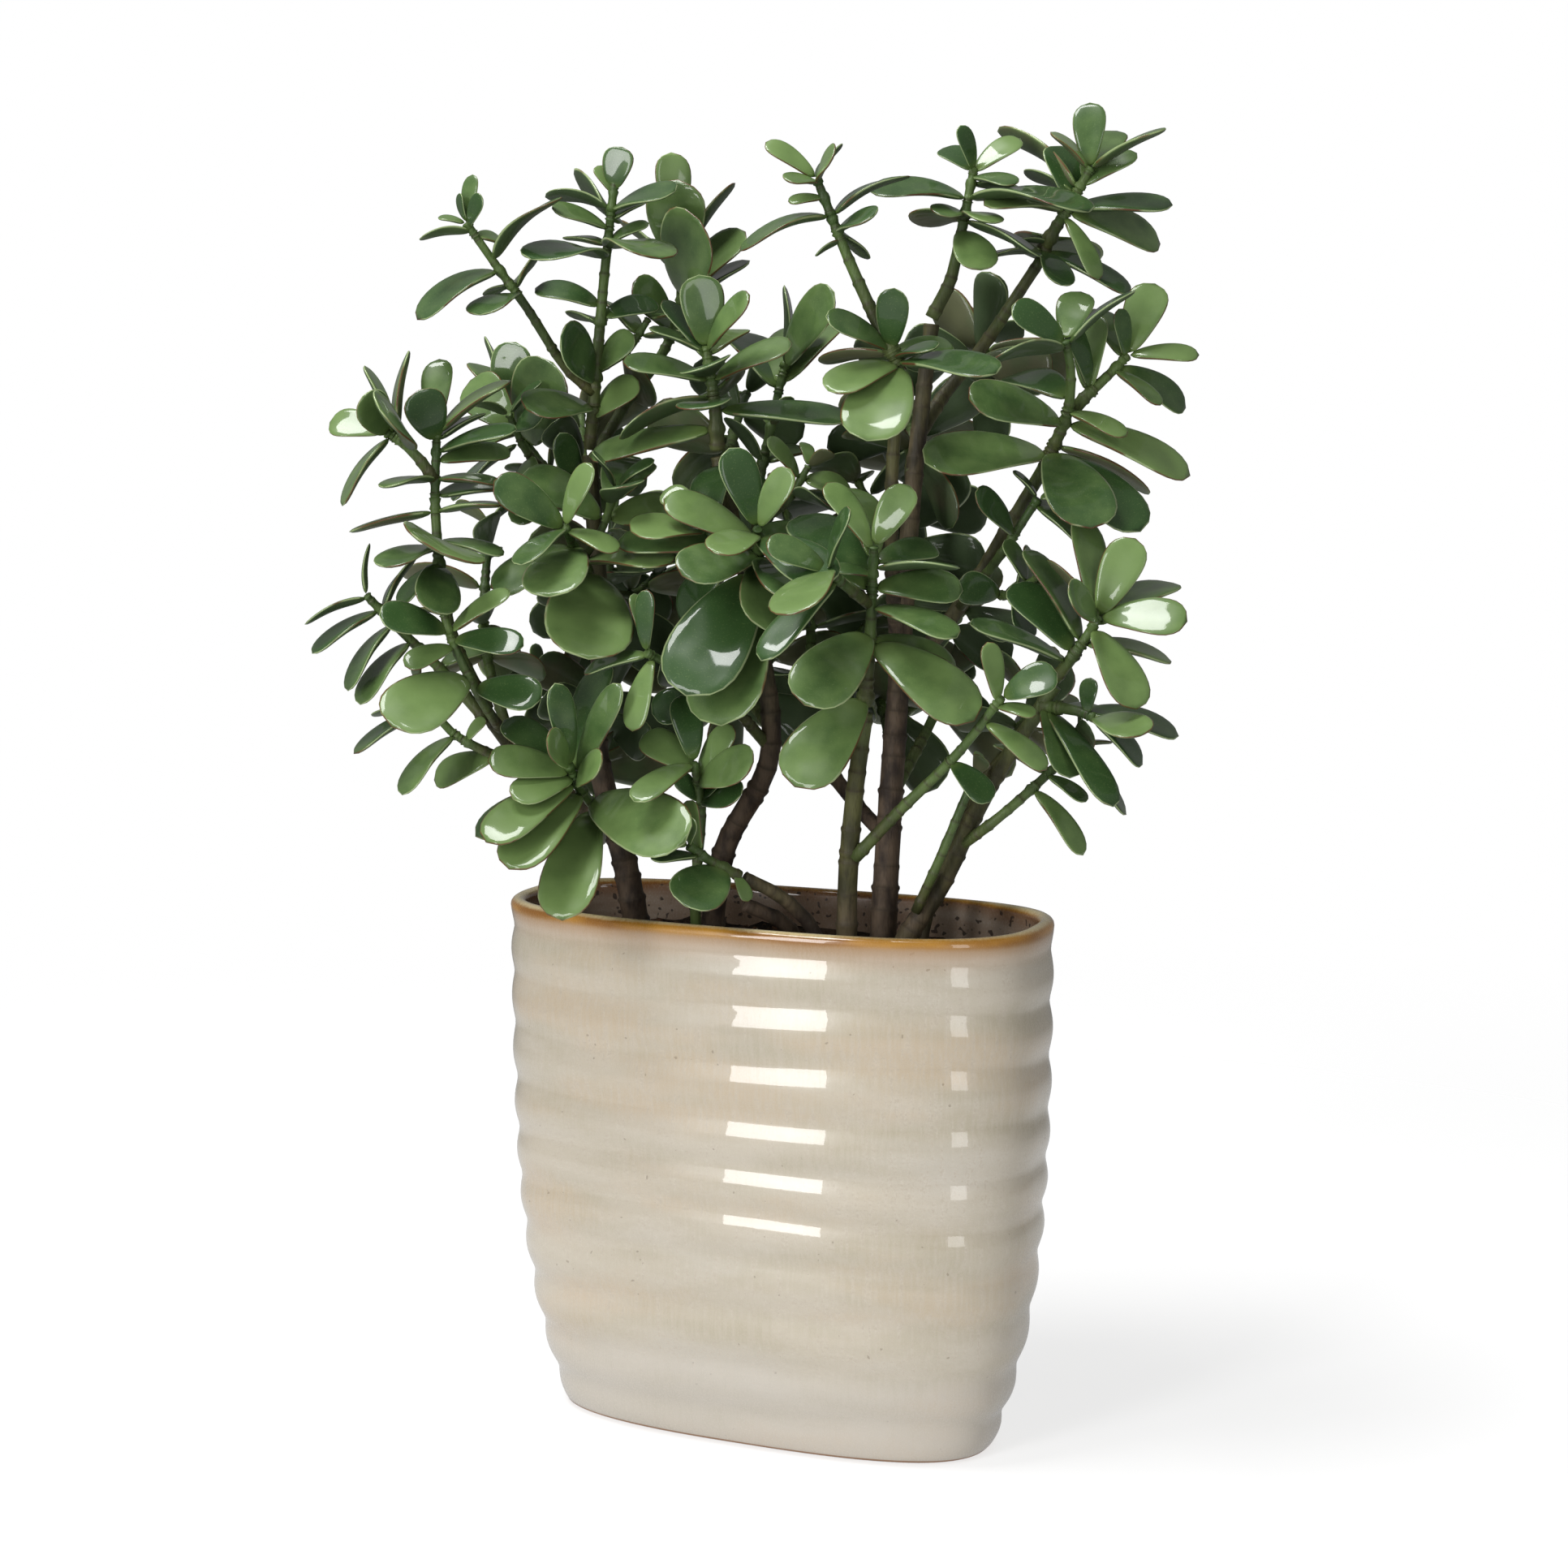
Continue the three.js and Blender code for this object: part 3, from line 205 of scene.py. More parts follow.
BELOW_LIP, INSIDE_HEIGHTS, INNER_REACH = (0.012, 0.025), (0.18, 0.12, 0.06, 0.03, 0.018), 0.87
POT_SIDES, WALL_RINGS, LIP_STEPS = 144, 92, 8


def half_sizes(z):
    """The pot's outer half length and half depth at a height."""
    foot = (1 - z / POT_HEIGHT) ** FOOT_TAPER
    return RIM_LENGTH + (FOOT_LENGTH - RIM_LENGTH) * foot, RIM_DEPTH + (FOOT_DEPTH - RIM_DEPTH) * foot


def on_oval(angle, z, inset):
    """A point of the pot's oval at a height, moved in from the outer wall."""
    length, depth = half_sizes(z)
    c, s = math.cos(angle), math.sin(angle)
    x = math.copysign(abs(c) ** (2 / SQUARENESS), c) * (length - inset)
    y = math.copysign(abs(s) ** (2 / SQUARENESS), s) * (depth - inset)
    return Vector((x, y, z))


def stack_rings(mesh, rings, sides, layers=(), marks=()):
    """Draws a circle up through the rings, each a function of the angle, and closes both ends. Where
    layers are given, each ring has its own marks for them."""
    loop = bmesh.ops.create_circle(mesh, segments=sides, radius=1)["verts"]
    edges = list({e for v in loop for e in v.link_edges})
    bmesh.ops.contextual_create(mesh, geom=edges)
    for number, ring in enumerate(rings):
        if number:
            grown = bmesh.ops.extrude_edge_only(mesh, edges=edges)["geom"]
            new = {v for v in grown if isinstance(v, bmesh.types.BMVert)}
            loop = [next(e.other_vert(v) for e in v.link_edges if e.other_vert(v) in new) for v in loop]
            edges = [e for e in grown if isinstance(e, bmesh.types.BMEdge) and new.issuperset(e.verts)]
        for i, vert in enumerate(loop):
            vert.co = ring(2 * math.pi * i / sides)
            for layer, mark in zip(layers, marks[number] if marks else ()):
                vert[layer] = mark
    bmesh.ops.contextual_create(mesh, geom=edges)
    bmesh.ops.recalc_face_normals(mesh, faces=mesh.faces)


def ridge_inset(angle, z):
    """How far the wall stands in from the oval. The ridges waver, as they do under a hand."""
    hand = 0.05 * math.sin(2 * angle + 0.9) + 0.06 * math.sin(3 * angle + 9 * z / POT_HEIGHT)
    hand += 0.07 * math.sin(4.1 * math.pi * z / POT_HEIGHT)
    phase = (z - FIRST_GROOVE) / RIDGE_PITCH + hand * min(1, z / 0.02) * min(1, (POT_HEIGHT - z) / 0.02)
    depth = RIDGE_DEPTH * (1.4 - 0.5 * z / POT_HEIGHT + 0.12 * math.sin(angle + 17 * z / POT_HEIGHT))
    crest = (math.sin(math.pi * phase) ** 2 + GROOVE_ROUNDING) / (1 + GROOVE_ROUNDING)
    return depth * (1 - crest ** 0.5)


def outer_ring(z):
    return lambda angle: on_oval(angle, z, ridge_inset(angle, z))


def lip_ring(around):
    """The rounded lip, from its outside at 0 to its inside at pi."""
    inset = WALL / 2 * (1 - math.cos(around))
    rise = WALL / 2 * math.sin(around)

    def ring(angle):
        wave = 0.0005 * math.sin(2 * angle + 1) + 0.0003 * math.sin(3 * angle)
        return on_oval(angle, LIP_BASE, inset) + Vector((0, 0, rise + wave))
    return ring


def plain_ring(z, inset):
    return lambda angle: on_oval(angle, z, inset)


pot_mesh = bmesh.new()
heights = [FOOT_EDGE + (LIP_BASE - FOOT_EDGE) * i / WALL_RINGS for i in range(WALL_RINGS)]
rings = [plain_ring(z, inset) for z, inset in FOOT_BEVEL]
rings += [outer_ring(z) for z in heights]
rings += [lip_ring(math.pi * i / LIP_STEPS) for i in range(LIP_STEPS + 1)]
rings += [plain_ring(POT_HEIGHT - depth, WALL) for depth in BELOW_LIP]
rings += [plain_ring(z, WALL) for z in INSIDE_HEIGHTS]
rings += [plain_ring(INSIDE_FLOOR, WALL + 0.004)]
stack_rings(pot_mesh, rings, POT_SIDES)
inside_mark = pot_mesh.verts.layers.float.new("inside")
for vert in pot_mesh.verts:
    length, depth = half_sizes(min(vert.co.z, POT_HEIGHT))
    reach = (abs(vert.co.x) / length) ** SQUARENESS + (abs(vert.co.y) / depth) ** SQUARENESS
    vert[inside_mark] = 1.0 if vert.co.z > INSIDE_FLOOR - 0.001 and reach < INNER_REACH else 0.0

glaze = Finish("cream_glaze", Coat_Weight=0.8, Coat_Roughness=0.015, Specular_IOR_Level=0.4)
place = glaze.place()
up = place.add("ShaderNodeSeparateXYZ", inputs={0: place}, output=2)
clouds = glaze.grain(place, (14, 14, 46), detail=4)
pools = glaze.grain(place, (9, 9, 30), detail=3)
threads = glaze.grain(place, (700, 700, 40), detail=2)
grains = glaze.grain(place, (1300, 1300, 900), detail=2)
specks = glaze.grain(place, (300, 300, 300), detail=1)
body = clouds.rise(0.34, 0.66).between(paint(187, 178, 157), paint(201, 192, 175))
body = (pools.rise(0.48, 0.68) * 0.65).between(body, paint(201, 182, 156))
body = ((1 - pools.rise(0.3, 0.48)) * 0.45).between(body, paint(206, 200, 190))
body = ((threads * 0.6 + grains * 0.4).rise(0.4, 0.68) * 0.5).between(body, paint(224, 216, 203))
body = ((threads * 0.4 + grains * 0.6).rise(0.45, 0.68) * 0.4).between(body, paint(152, 136, 110))
body = (specks.rise(0.76, 0.79) * 0.4).between(body, paint(104, 86, 66))
# A paler band round the foot: a painted reflection of the pale floor.
painted_floor_sheen = 1 - (up + clouds * 0.012).rise(0.038, 0.056)
body = (painted_floor_sheen * 0.5).between(body, paint(200, 194, 186))
drop = POT_HEIGHT + clouds * 0.0036 - 0.0018 + threads * 0.0008 - up
body = ((1 - drop.rise(0.007, 0.02)) * 0.6).between(body, paint(184, 152, 122))
body = ((1 - drop.rise(0.0045, 0.012)) * 0.85).between(body, paint(166, 128, 82))
honey = clouds.rise(0.42, 0.62).between(paint(146, 98, 40), paint(192, 140, 56))
body = (1 - drop.rise(0.0036, 0.0076)).between(body, honey)
# A pale line along the lip's crest: a painted highlight.
body = (1 - drop.rise(0.0009, 0.0029)).between(body, paint(230, 212, 162))
inside = glaze.mark("inside")
inner_wall = clouds.rise(0.4, 0.6).between(paint(138, 116, 98), paint(166, 150, 134))
inner_wall = (drop + clouds * 0.004).rise(0.004, 0.012).between(paint(124, 82, 44), inner_wall)
inner_wall = (specks.rise(0.62, 0.68) * 0.8).between(inner_wall, paint(40, 32, 28))
body = (inside * drop.rise(0.002, 0.004)).between(body, inner_wall)
bare = 1 - (up + clouds * 0.0008).rise(0.0026, 0.003)
colour = bare.between(body, paint(150, 112, 78))
glaze.join(Base_Color=colour, Roughness=grains * 0.06 + bare * 0.5 + 0.24)
glaze.relief(clouds * 0.6 + pools * 0.4, 0.0006)


def finished(name, mesh, material, slot, *stands_for, smooth=True, subdivided=0):
    """Makes a bmesh a piece that rides on the one body and stands for its CAD nodes."""
    data = bpy.data.meshes.new(name)
    mesh.to_mesh(data)
    mesh.free()
    data.materials.append(material)
    data.shade_smooth() if smooth else data.shade_flat()
    piece = bpy.data.objects.new(name, data)
    bpy.context.scene.collection.objects.link(piece)
    if subdivided:
        finer = piece.modifiers.new("finer", "SUBSURF")
        finer.levels = finer.render_levels = subdivided
    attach(piece, "root")
    if stands_for:
        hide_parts(*stands_for)


finished("planter", pot_mesh, glaze.material, "glaze", "pot")

# ------------------------------ the soil
# Dark potting mix fills the pot to a finger's width below the lip. Its top is uneven, with bark
# chips, crumbs and a little pale grit lying on it.
_, soil_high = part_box("soil")
SOIL_LEVEL = soil_high.z - 0.002
SOIL_GAP = 0.0006


def soil_height(x, y):
    lumps = noise.fractal(Vector((x, y, 0)) * 55, 0.7, 2.1, 4)
    return SOIL_LEVEL - 0.0012 + 0.0022 * lumps


def soil_ring(share):
    def ring(angle):
        edge = on_oval(angle, SOIL_LEVEL, WALL + SOIL_GAP)
        return Vector((edge.x * share, edge.y * share, soil_height(edge.x * share, edge.y * share)))
    return ring


soil_mesh = bmesh.new()
rings = [plain_ring(z, WALL + SOIL_GAP + 0.004) for z in (INSIDE_FLOOR + 0.001, 0.06, 0.12, 0.18)]
rings += [soil_ring(1 - 0.97 * i / 34) for i in range(35)]
stack_rings(soil_mesh, rings, 120)
earth = Finish("potting_mix", Roughness=0.95, Specular_IOR_Level=0.2)
place = earth.place()
crumbs = earth.grain(place, (420, 420, 420), detail=5)
patches = earth.grain(place, (60, 60, 60), detail=3)
colour = crumbs.rise(0.35, 0.7).between(paint(22, 17, 14), paint(66, 52, 41))
colour = (patches.rise(0.5, 0.7) * 0.4).between(colour, paint(88, 68, 50))
earth.join(Base_Color=colour)
earth.relief(crumbs * 0.7 + patches * 0.3, 0.0022)
finished("potting_soil", soil_mesh, earth.material, "soil", "soil")


def scatter_chips(name, count, longest, flat, seed, finish):
    """Lays small broken pieces on the soil, each a dented cube turned its own way."""
    rng = np.random.default_rng(seed)
    mesh = bmesh.new()
    for _ in range(count):
        angle, share = rng.uniform(0, 2 * math.pi), 0.97 * math.sqrt(rng.uniform(0.02, 0.98))
        edge = on_oval(angle, SOIL_LEVEL, WALL + 0.003)
        size = longest * rng.uniform(0.35, 1)
        x, y = edge.x * share, edge.y * share
        made = bmesh.ops.create_icosphere(mesh, subdivisions=1, radius=1)["verts"]
        dents = rng.uniform(0.7, 1.15, len(made))
        spin, tip = rng.uniform(0, 2 * math.pi), rng.uniform(-0.35, 0.35)
        for vert, dent in zip(made, dents):
            long, wide = vert.co.x * size / 2, vert.co.y * size * 0.28
            thick = vert.co.z * size * flat / 2 + long * math.sin(tip)
            vert.co = Vector((
                x + (math.cos(spin) * long - math.sin(spin) * wide) * dent,
                y + (math.sin(spin) * long + math.cos(spin) * wide) * dent,
                soil_height(x, y) + size * flat * 0.3 + thick * dent,
            ))
    bmesh.ops.recalc_face_normals(mesh, faces=mesh.faces)
    finished(name, mesh, finish.material, "soil", smooth=False)


chip_bark = Finish("bark_chips", Roughness=0.9, Specular_IOR_Level=0.25)
place = chip_bark.place()
tone = chip_bark.grain(place, (130, 130, 130), detail=2)
fibre = chip_bark.grain(place, (900, 900, 900), detail=3)
colour = tone.rise(0.35, 0.65).between(paint(48, 33, 24), paint(98, 66, 42))
chip_bark.join(Base_Color=(fibre.rise(0.4, 0.7) * 0.5).between(colour, paint(34, 26, 20)))
chip_bark.relief(fibre, 0.0006)
scatter_chips("bark_mulch", 200, 0.009, 0.3, 4, chip_bark)

grit = Finish("pale_grit", Roughness=0.85, Specular_IOR_Level=0.3)
place = grit.place()
tone = grit.grain(place, (200, 200, 200), detail=2)
grit.join(Base_Color=tone.rise(0.4, 0.6).between(paint(112, 98, 82), paint(176, 164, 146)))
grit.relief(tone, 0.0005)
scatter_chips("soil_grit", 90, 0.0032, 0.7, 9, grit)

# ------------------------------ the woody stems
# Old jade wood: smooth tapering stems, olive above and grey-brown at the soil, ringed by the scars of
# fallen leaf pairs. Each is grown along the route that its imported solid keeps.
class Route:
    """A smooth curve through points, followed by its length from 0 to 1."""

    def __init__(self, points):
        points = np.array(points)
        self.points = np.vstack([2 * points[0] - points[1], points, 2 * points[-1] - points[-2]])
        self.spans = len(points) - 1
        self.knots = np.linspace(0, 1, 201)
        path = np.array([self.at(t) for t in self.knots])
        steps = np.linalg.norm(np.diff(path, axis=0), axis=1)
        self.marks = np.concatenate([[0], np.cumsum(steps)])
        self.length = self.marks[-1]

    def at(self, t):
        span = min(int(t * self.spans), self.spans - 1)
        w = t * self.spans - span
        a, b, c, d = self.points[span:span + 4]
        g0, g1, g2 = (np.dot(q - p, q - p) ** 0.25 for p, q in ((a, b), (b, c), (c, d)))
        start = ((b - a) / g0 - (c - a) / (g0 + g1) + (c - b) / g1) * g1
        end = ((c - b) / g1 - (d - b) / (g1 + g2) + (d - c) / g2) * g1
        bend, twist = 3 * (c - b) - 2 * start - end, 2 * (b - c) + start + end
        return b + start * w + bend * w * w + twist * w ** 3

    def knot(self, share):
        return float(np.interp(share * self.length, self.marks, self.knots))

    def point(self, share):
        return self.at(self.knot(share))

    def along(self, share):
        t = self.knot(share)
        step = self.at(min(1, t + 0.0001)) - self.at(max(0, t - 0.0001))
        return step / np.linalg.norm(step)


def charted(path):
    """The route through a stem's points, which are in millimetres across, behind and above its foot."""
    return Route([np.array(seen_from_front(*point)) * 0.001 for point in path])


LEVEL = np.array(seen_from_front(1, 0, 0))


def cross_axes(along):
    """Two directions square to a run along a stem. The first lies across the plant."""
    side = LEVEL - along * np.dot(LEVEL, along)
    side /= np.linalg.norm(side)
    return side, np.cross(along, side)


def unevenness(a, b):
    """A stray number from -1 to 1, always the same for the same two counts."""
    v = math.sin(a * 12.9898 + b * 78.233) * 43758.5453
    return 2 * (v - math.floor(v)) - 1


def grow_tube(mesh, route, thick, thin, stations, sides):
    """A round stem along its route, through stations that give a share of the route, how far the skin
    swells there, and how scarred and how young it is."""
    def section(share, swell):
        centre, radius = route.point(share), thick + (thin - thick) * share
        side, front = cross_axes(route.along(share))
        return lambda angle: centre + (side * math.cos(angle) + front * math.sin(angle)) * radius * swell

    marks = mesh.verts.layers.float
    layers = [marks.get(mark) or marks.new(mark) for mark in ("youth", "ring")]
    rings = [section(share, swell) for share, swell, _, _ in stations]
    stack_rings(mesh, rings, sides, layers, [(youth, ring) for _, _, ring, youth in stations])


# Each stem: its radius and its youth, both at foot and tip, and its route.
WOODY_STEMS = {
    "stem_main": ((6.2, 3.2), (0, 0.45), [
        (47, -12, 205), (50, -8, 271), (56, 0, 360), (61, 5, 430), (69, 10, 502),
    ]),
    "stem_front": ((4.9, 3.4), (0.25, 0.7), [
        (31, -40, 205), (31, -45, 257), (33, -50, 291), (38, -55, 335),
    ]),
    "stem_right": ((5, 3), (0.2, 0.75), [
        (46, -36, 212), (59.5, -37, 237), (71, -38, 255), (92, -40, 299), (120, -50, 346),
    ]),
    "stem_back_right": ((3.3, 2.6), (0.3, 0.7), [
        (60, -12, 205), (74, -15, 265), (87, -10, 291), (104, 5, 311),
    ]),
    "stem_middle": ((5.6, 3), (0, 0.5), [
        (-32, 12, 205), (-24, 5, 265), (-3, -5, 311), (-10, -10, 373), (-26, -15, 444),
    ]),
    "stem_left": ((6.2, 3.4), (0, 0.5), [
        (-60, 12, 205), (-69, 8, 259), (-82, 15, 312), (-80, 20, 356), (-84, 15, 444),
    ]),
    "stem_low_front": ((3.4, 2.8), (0.05, 0.4), [
        (27, -32, 210), (14, -37, 240), (0, -44, 254), (-14, -49, 262),
    ]),
    "cut_stump": ((3.6, 3), (0, 0.05), [(14, -12, 214), (4, -20, 236), (-14, -24, 246)]),
    "branch_left": ((4.2, 3.2), (0.25, 0.65), [
        (-79, 10, 281), (-98, 0, 294), (-115, -10, 311), (-128, -18, 330),
    ]),
    "branch_middle": ((3.6, 2.8), (0.05, 0.4), [
        (50, -6, 273), (38, 12, 284), (22, 26, 304), (12, 32, 326),
    ]),
    "branch_upper_right": ((3.8, 2.8), (0.3, 0.75), [
        (55, 0, 343), (84, 0, 380), (102, -5, 411), (119, -12, 441),
    ]),
    "branch_top_right": ((3.2, 2.5), (0.45, 0.85), [
        (63, 8, 452), (76, 20, 472), (91, 25, 490), (118, 15, 531),
    ]),
    "branch_centre": ((3.2, 2.6), (0.2, 0.6), [
        (54, 0, 358), (50, -30, 403), (50, -35, 438), (53, -35, 480),
    ]),
}
WOOD_SCARS, WOOD_SIDES = (0.0105, 0.0009, 0.1), 14
SCAR_PROFILE = ((-2.6, 0.3, 0), (-0.8, 1, 0.3), (0.1, 0.9, 1), (0.9, 0.2, 0.6), (2.4, 0, 0))
NODE_PROFILE = ((-0.0028, 1.05), (-0.0005, 1.38), (0.0012, 1.34), (0.003, 1.05))

bark = Finish("jade_bark", Roughness=0.62, Specular_IOR_Level=0.35)
place = bark.place()
youth, ring = bark.mark("youth"), bark.mark("ring")
mottle = bark.grain(place, (150, 150, 60), detail=4)
lines = bark.grain(place, (900, 900, 120), detail=3)
patch = bark.grain(place, (45, 45, 45), detail=2)
old = mottle.rise(0.35, 0.66).between(paint(52, 42, 35), paint(100, 84, 68))
olive = mottle.rise(0.3, 0.7).between(paint(56, 56, 32), paint(90, 90, 52))
green = patch.rise(0.3, 0.7).between(paint(64, 88, 46), paint(94, 116, 62))
freshness = youth + patch * 0.4 - 0.2
colour = freshness.rise(0.14, 0.6).between(old, olive)
colour = freshness.rise(0.6, 0.95).between(colour, green)
colour = (lines.rise(0.55, 0.75) * 0.35).between(colour, paint(46, 38, 30))
colour = (ring * (mottle.rise(0.3, 0.6) * 0.5 + 0.2)).between(colour, paint(58, 48, 34))
bark.join(Base_Color=colour, Roughness=0.68 - youth * 0.28 + lines * 0.08)
bark.relief(lines * 0.5 + mottle * 0.5, 0.0007)


def ringed_stations(route, youths, scars, seed, nodes=()):
    """Stations along a stem: close ones over each leaf scar and each leaf pair, and a round end. The
    scars have a spacing, half a length along the stem and a swelling."""
    def youth_at(share):
        return youths[0] + (youths[1] - youths[0]) * share

    every, half_scar, swell = scars
    count, half = max(1, round(route.length / every)), half_scar / route.length
    stations = [(0, 1, 0, youths[0])]
    for k in range(count):
        middle = (k + 0.6 + 0.36 * unevenness(seed, k)) / count
        high = swell * (1 + 0.7 * unevenness(seed + 1, k))
        for share, wide, ring in SCAR_PROFILE:
            at = middle + share * half
            if stations[-1][0] + 0.2 * half < at < 1 - 0.4 * half:
                stations.append((at, 1 + high * wide, ring, youth_at(middle)))
    for node in nodes:
        for share, wide in NODE_PROFILE:
            at = node + share / route.length
            if 0 < at < 0.995:
                stations.append((at, wide, 0, youth_at(node)))
    return sorted(stations) + [(1, 1.1, 0, youths[1]), (1, 0.5, 0, youths[1])]


for number, (name, (radii, youths, path)) in enumerate(WOODY_STEMS.items()):
    route, mesh = charted(path), bmesh.new()
    stations = ringed_stations(route, youths, WOOD_SCARS, 7 * number)
    grow_tube(mesh, route, *np.array(radii) * 0.001, stations, WOOD_SIDES)
    finished(name + "_wood", mesh, bark.material, "bark", name)

# ------------------------------ the leafy shoots
# Young green growth. Fleshy leaves stand in opposite pairs, each pair square to the last, the old
# ones spread wide and the newest folded at the tip. A leaf turns aside where another is in its way.
SHOOTS = {}
UPWARDS = np.array([0.0, 0.0, 1.0])
FIVE_PAIRS, SIX_PAIRS = (0.3, 0.47, 0.65, 0.83, 1), (0.3, 0.44, 0.58, 0.73, 0.87, 1)
LONG_TWIG, LONG_TWIG_PAIRS, SHORT_TWIG_PAIRS = 35, (0.38, 0.6, 0.81, 1), (0.45, 0.74, 1)


def unit(vector):
    return vector / np.linalg.norm(vector)


class Stalk:
    """A shoot's own stem or a side twig. Leaves keep clear of points that stand so often along it."""

    def __init__(self, route, pairs, roll, leaf, radii, points_every):
        self.route, self.pairs, self.roll, self.leaf = route, pairs, roll, leaf
        self.radii, self.points_every = radii, points_every


def twig_of(stalk, share, turn, length):
    """A side twig, which leaves its stalk at an angle and bends upwards."""
    along, start = stalk.route.along(share), stalk.route.point(share)
    side, front = cross_axes(along)
    radial = side * math.cos(math.radians(turn)) + front * math.sin(math.radians(turn))
    out = along * 0.55 + radial * 0.835
    bend = start + out * length * 0.00045
    tip = bend + unit(out + UPWARDS * 0.7) * length * 0.00055
    pairs = LONG_TWIG_PAIRS if length > LONG_TWIG else SHORT_TWIG_PAIRS
    return Stalk(Route([start, bend, tip]), pairs, turn + 45, stalk.leaf * 0.92, (0.002, 0.0014), 0.25)


def shoot(name, leaf, path, pairs=(), roll=0, twigs=(), tips=()):
    """Notes a shoot: its leaf length, its route, where its leaf pairs stand and how far round the first
    is turned, its twigs (share of the route, turn, length), and its leaves with known tips (share of
    the route, across, behind, above, width for length, degrees turned to the front, droop)."""
    long = leaf * 0.001
    own = Stalk(charted(path), pairs, roll, long, (0.035 * long + 0.0014, 0.0017), 0.15)
    SHOOTS["shoot_" + name] = [own, *(twig_of(own, *twig) for twig in twigs)], tips


shoot("left_tall", 40, [(-84, 15, 447), (-79, 5, 495), (-76, 0, 523), (-71, -5, 563)],
      twigs=[(0.3, 20, 34)], tips=[
    (0.97, -67, -8, 579, 0.8, 75), (0.96, -79, -2, 571, 0.6, 60), (0.9, -104, 4, 557, 0.36, 4, 0.4),
    (0.9, -42, -22, 558, 0.46, 42), (0.87, -88, 26, 562, 0.5, 10), (0.86, -58, 26, 556, 0.5, 40),
    (0.83, -99, -18, 551, 0.4, 45), (0.77, -95, 12, 540, 0.35, 30), (0.78, -55, 18, 546, 0.4, 45),
    (0.72, -107, -18, 527, 0.46, 38, 0.42), (0.76, -48, -30, 527, 0.44, 38, 0.4),
    (0.54, -109, 8, 518, 0.44, 50, 0.3), (0.48, -90, 28, 505, 0.5, 30), (0.5, -52, 16, 512, 0.5, 60),
    (0.27, -95, -25, 497, 0.62, 65), (0.3, -62, 10, 498, 0.6, 65), (0.16, -111, -22, 464, 0.52, 58),
    (0.12, -60, -22, 478, 0.6, 62),
])
shoot("upper_left", 26, [(-82, 9, 472), (-93, 5, 482), (-110, -5, 509), (-122, -10, 526), (-135, -15, 545)],
      pairs=[1], tips=[
    (0.73, -158, -22, 501, 0.4, 42, 0.42), (0.78, -90, -2, 555, 0.34, 16, 0.48),
    (0.6, -129, -32, 504, 0.6, 48), (0.62, -107, 14, 530, 0.5, 20), (0.65, -128, 8, 514, 0.4, 20),
    (0.98, -132, -12, 567, 0.36, 60), (0.98, -126, -20, 556, 0.46, 70),
    (0.95, -156, -22, 537, 0.36, 10, 0.3), (0.93, -119, -32, 537, 0.55, 50),
])
shoot("left_behind", 38, [(-84, 18, 440), (-69, 30, 466), (-51, 40, 492), (-44, 45, 514), (-47, 45, 550)],
      pairs=[0.56], roll=20, tips=[
    (0.97, -48, 42, 582, 0.52, 75), (0.84, -44, 26, 569, 0.72, 70), (0.84, -17, 42, 569, 0.4, 12),
    (0.72, -33, 10, 550, 0.72, 55), (0.7, -12, 40, 546, 0.5, 40), (0.66, -10, 26, 533, 0.34, 30, 0.25),
    (0.8, -72, 42, 550, 0.45, 20), (0.6, -66, 24, 522, 0.6, 60),
])
shoot("centre_tall", 54, [(-26, -15, 447), (-27, -18, 466), (-31, -20, 492)], tips=[
    (0.97, -34, -24, 524, 0.66, 78), (0.95, -10, -32, 514, 0.34, 50), (0.93, -57, -22, 500, 0.3, 32),
    (0.9, -15, 4, 500, 0.5, 50), (0.85, -51, 4, 513, 0.3, 50), (0.66, -69, -28, 485, 0.34, 48),
    (0.66, 9, -30, 493, 0.38, 45), (0.72, -30, -52, 482, 0.72, 62), (0.55, -25, 16, 470, 0.7, 40),
    (0.42, -33, -56, 464, 0.62, 60), (0.5, -71, -12, 450, 0.36, 4, 0.3),
    (0.38, 35, -26, 460, 0.26, 42, 0.06), (0.2, -86, -34, 443, 0.27, 50, 0.06),
])
shoot("centre_behind", 36, [(-10, -6, 375), (-8, 15, 430), (-3, 20, 455), (4, 24, 486)],
      pairs=[0.6, 0.74], roll=30, twigs=[(0.35, 340, 36)], tips=[
    (0.98, 3, 22, 522, 0.4, 4), (0.98, 27, 16, 517, 0.42, 60), (0.95, 20, 4, 507, 0.34, 14),
    (0.9, 22, 30, 506, 0.66, 55), (0.88, -20, 34, 502, 0.5, 50),
])
shoot("centre_front", 50, [(-10, -10, 376), (-8, -32, 396), (-8, -52, 414)],
      roll=10, twigs=[(0.45, 170, 38)], tips=[
    (1, -21, -56, 450, 0.5, 76), (1, 7, -62, 441, 0.46, 70), (0.9, 23, -88, 391, 0.42, 65),
    (0.92, -27, -84, 404, 0.46, 62), (0.7, -42, -74, 394, 0.52, 65), (0.66, 9, -74, 384, 0.46, 60),
    (0.55, -4, -80, 370, 0.5, 60), (0.5, -40, -78, 341, 0.52, 74), (0.3, -24, -60, 327, 0.5, 60),
    (0.8, -51, -46, 427, 0.42, 60), (0.72, -73, -40, 407, 0.3, 50),
])
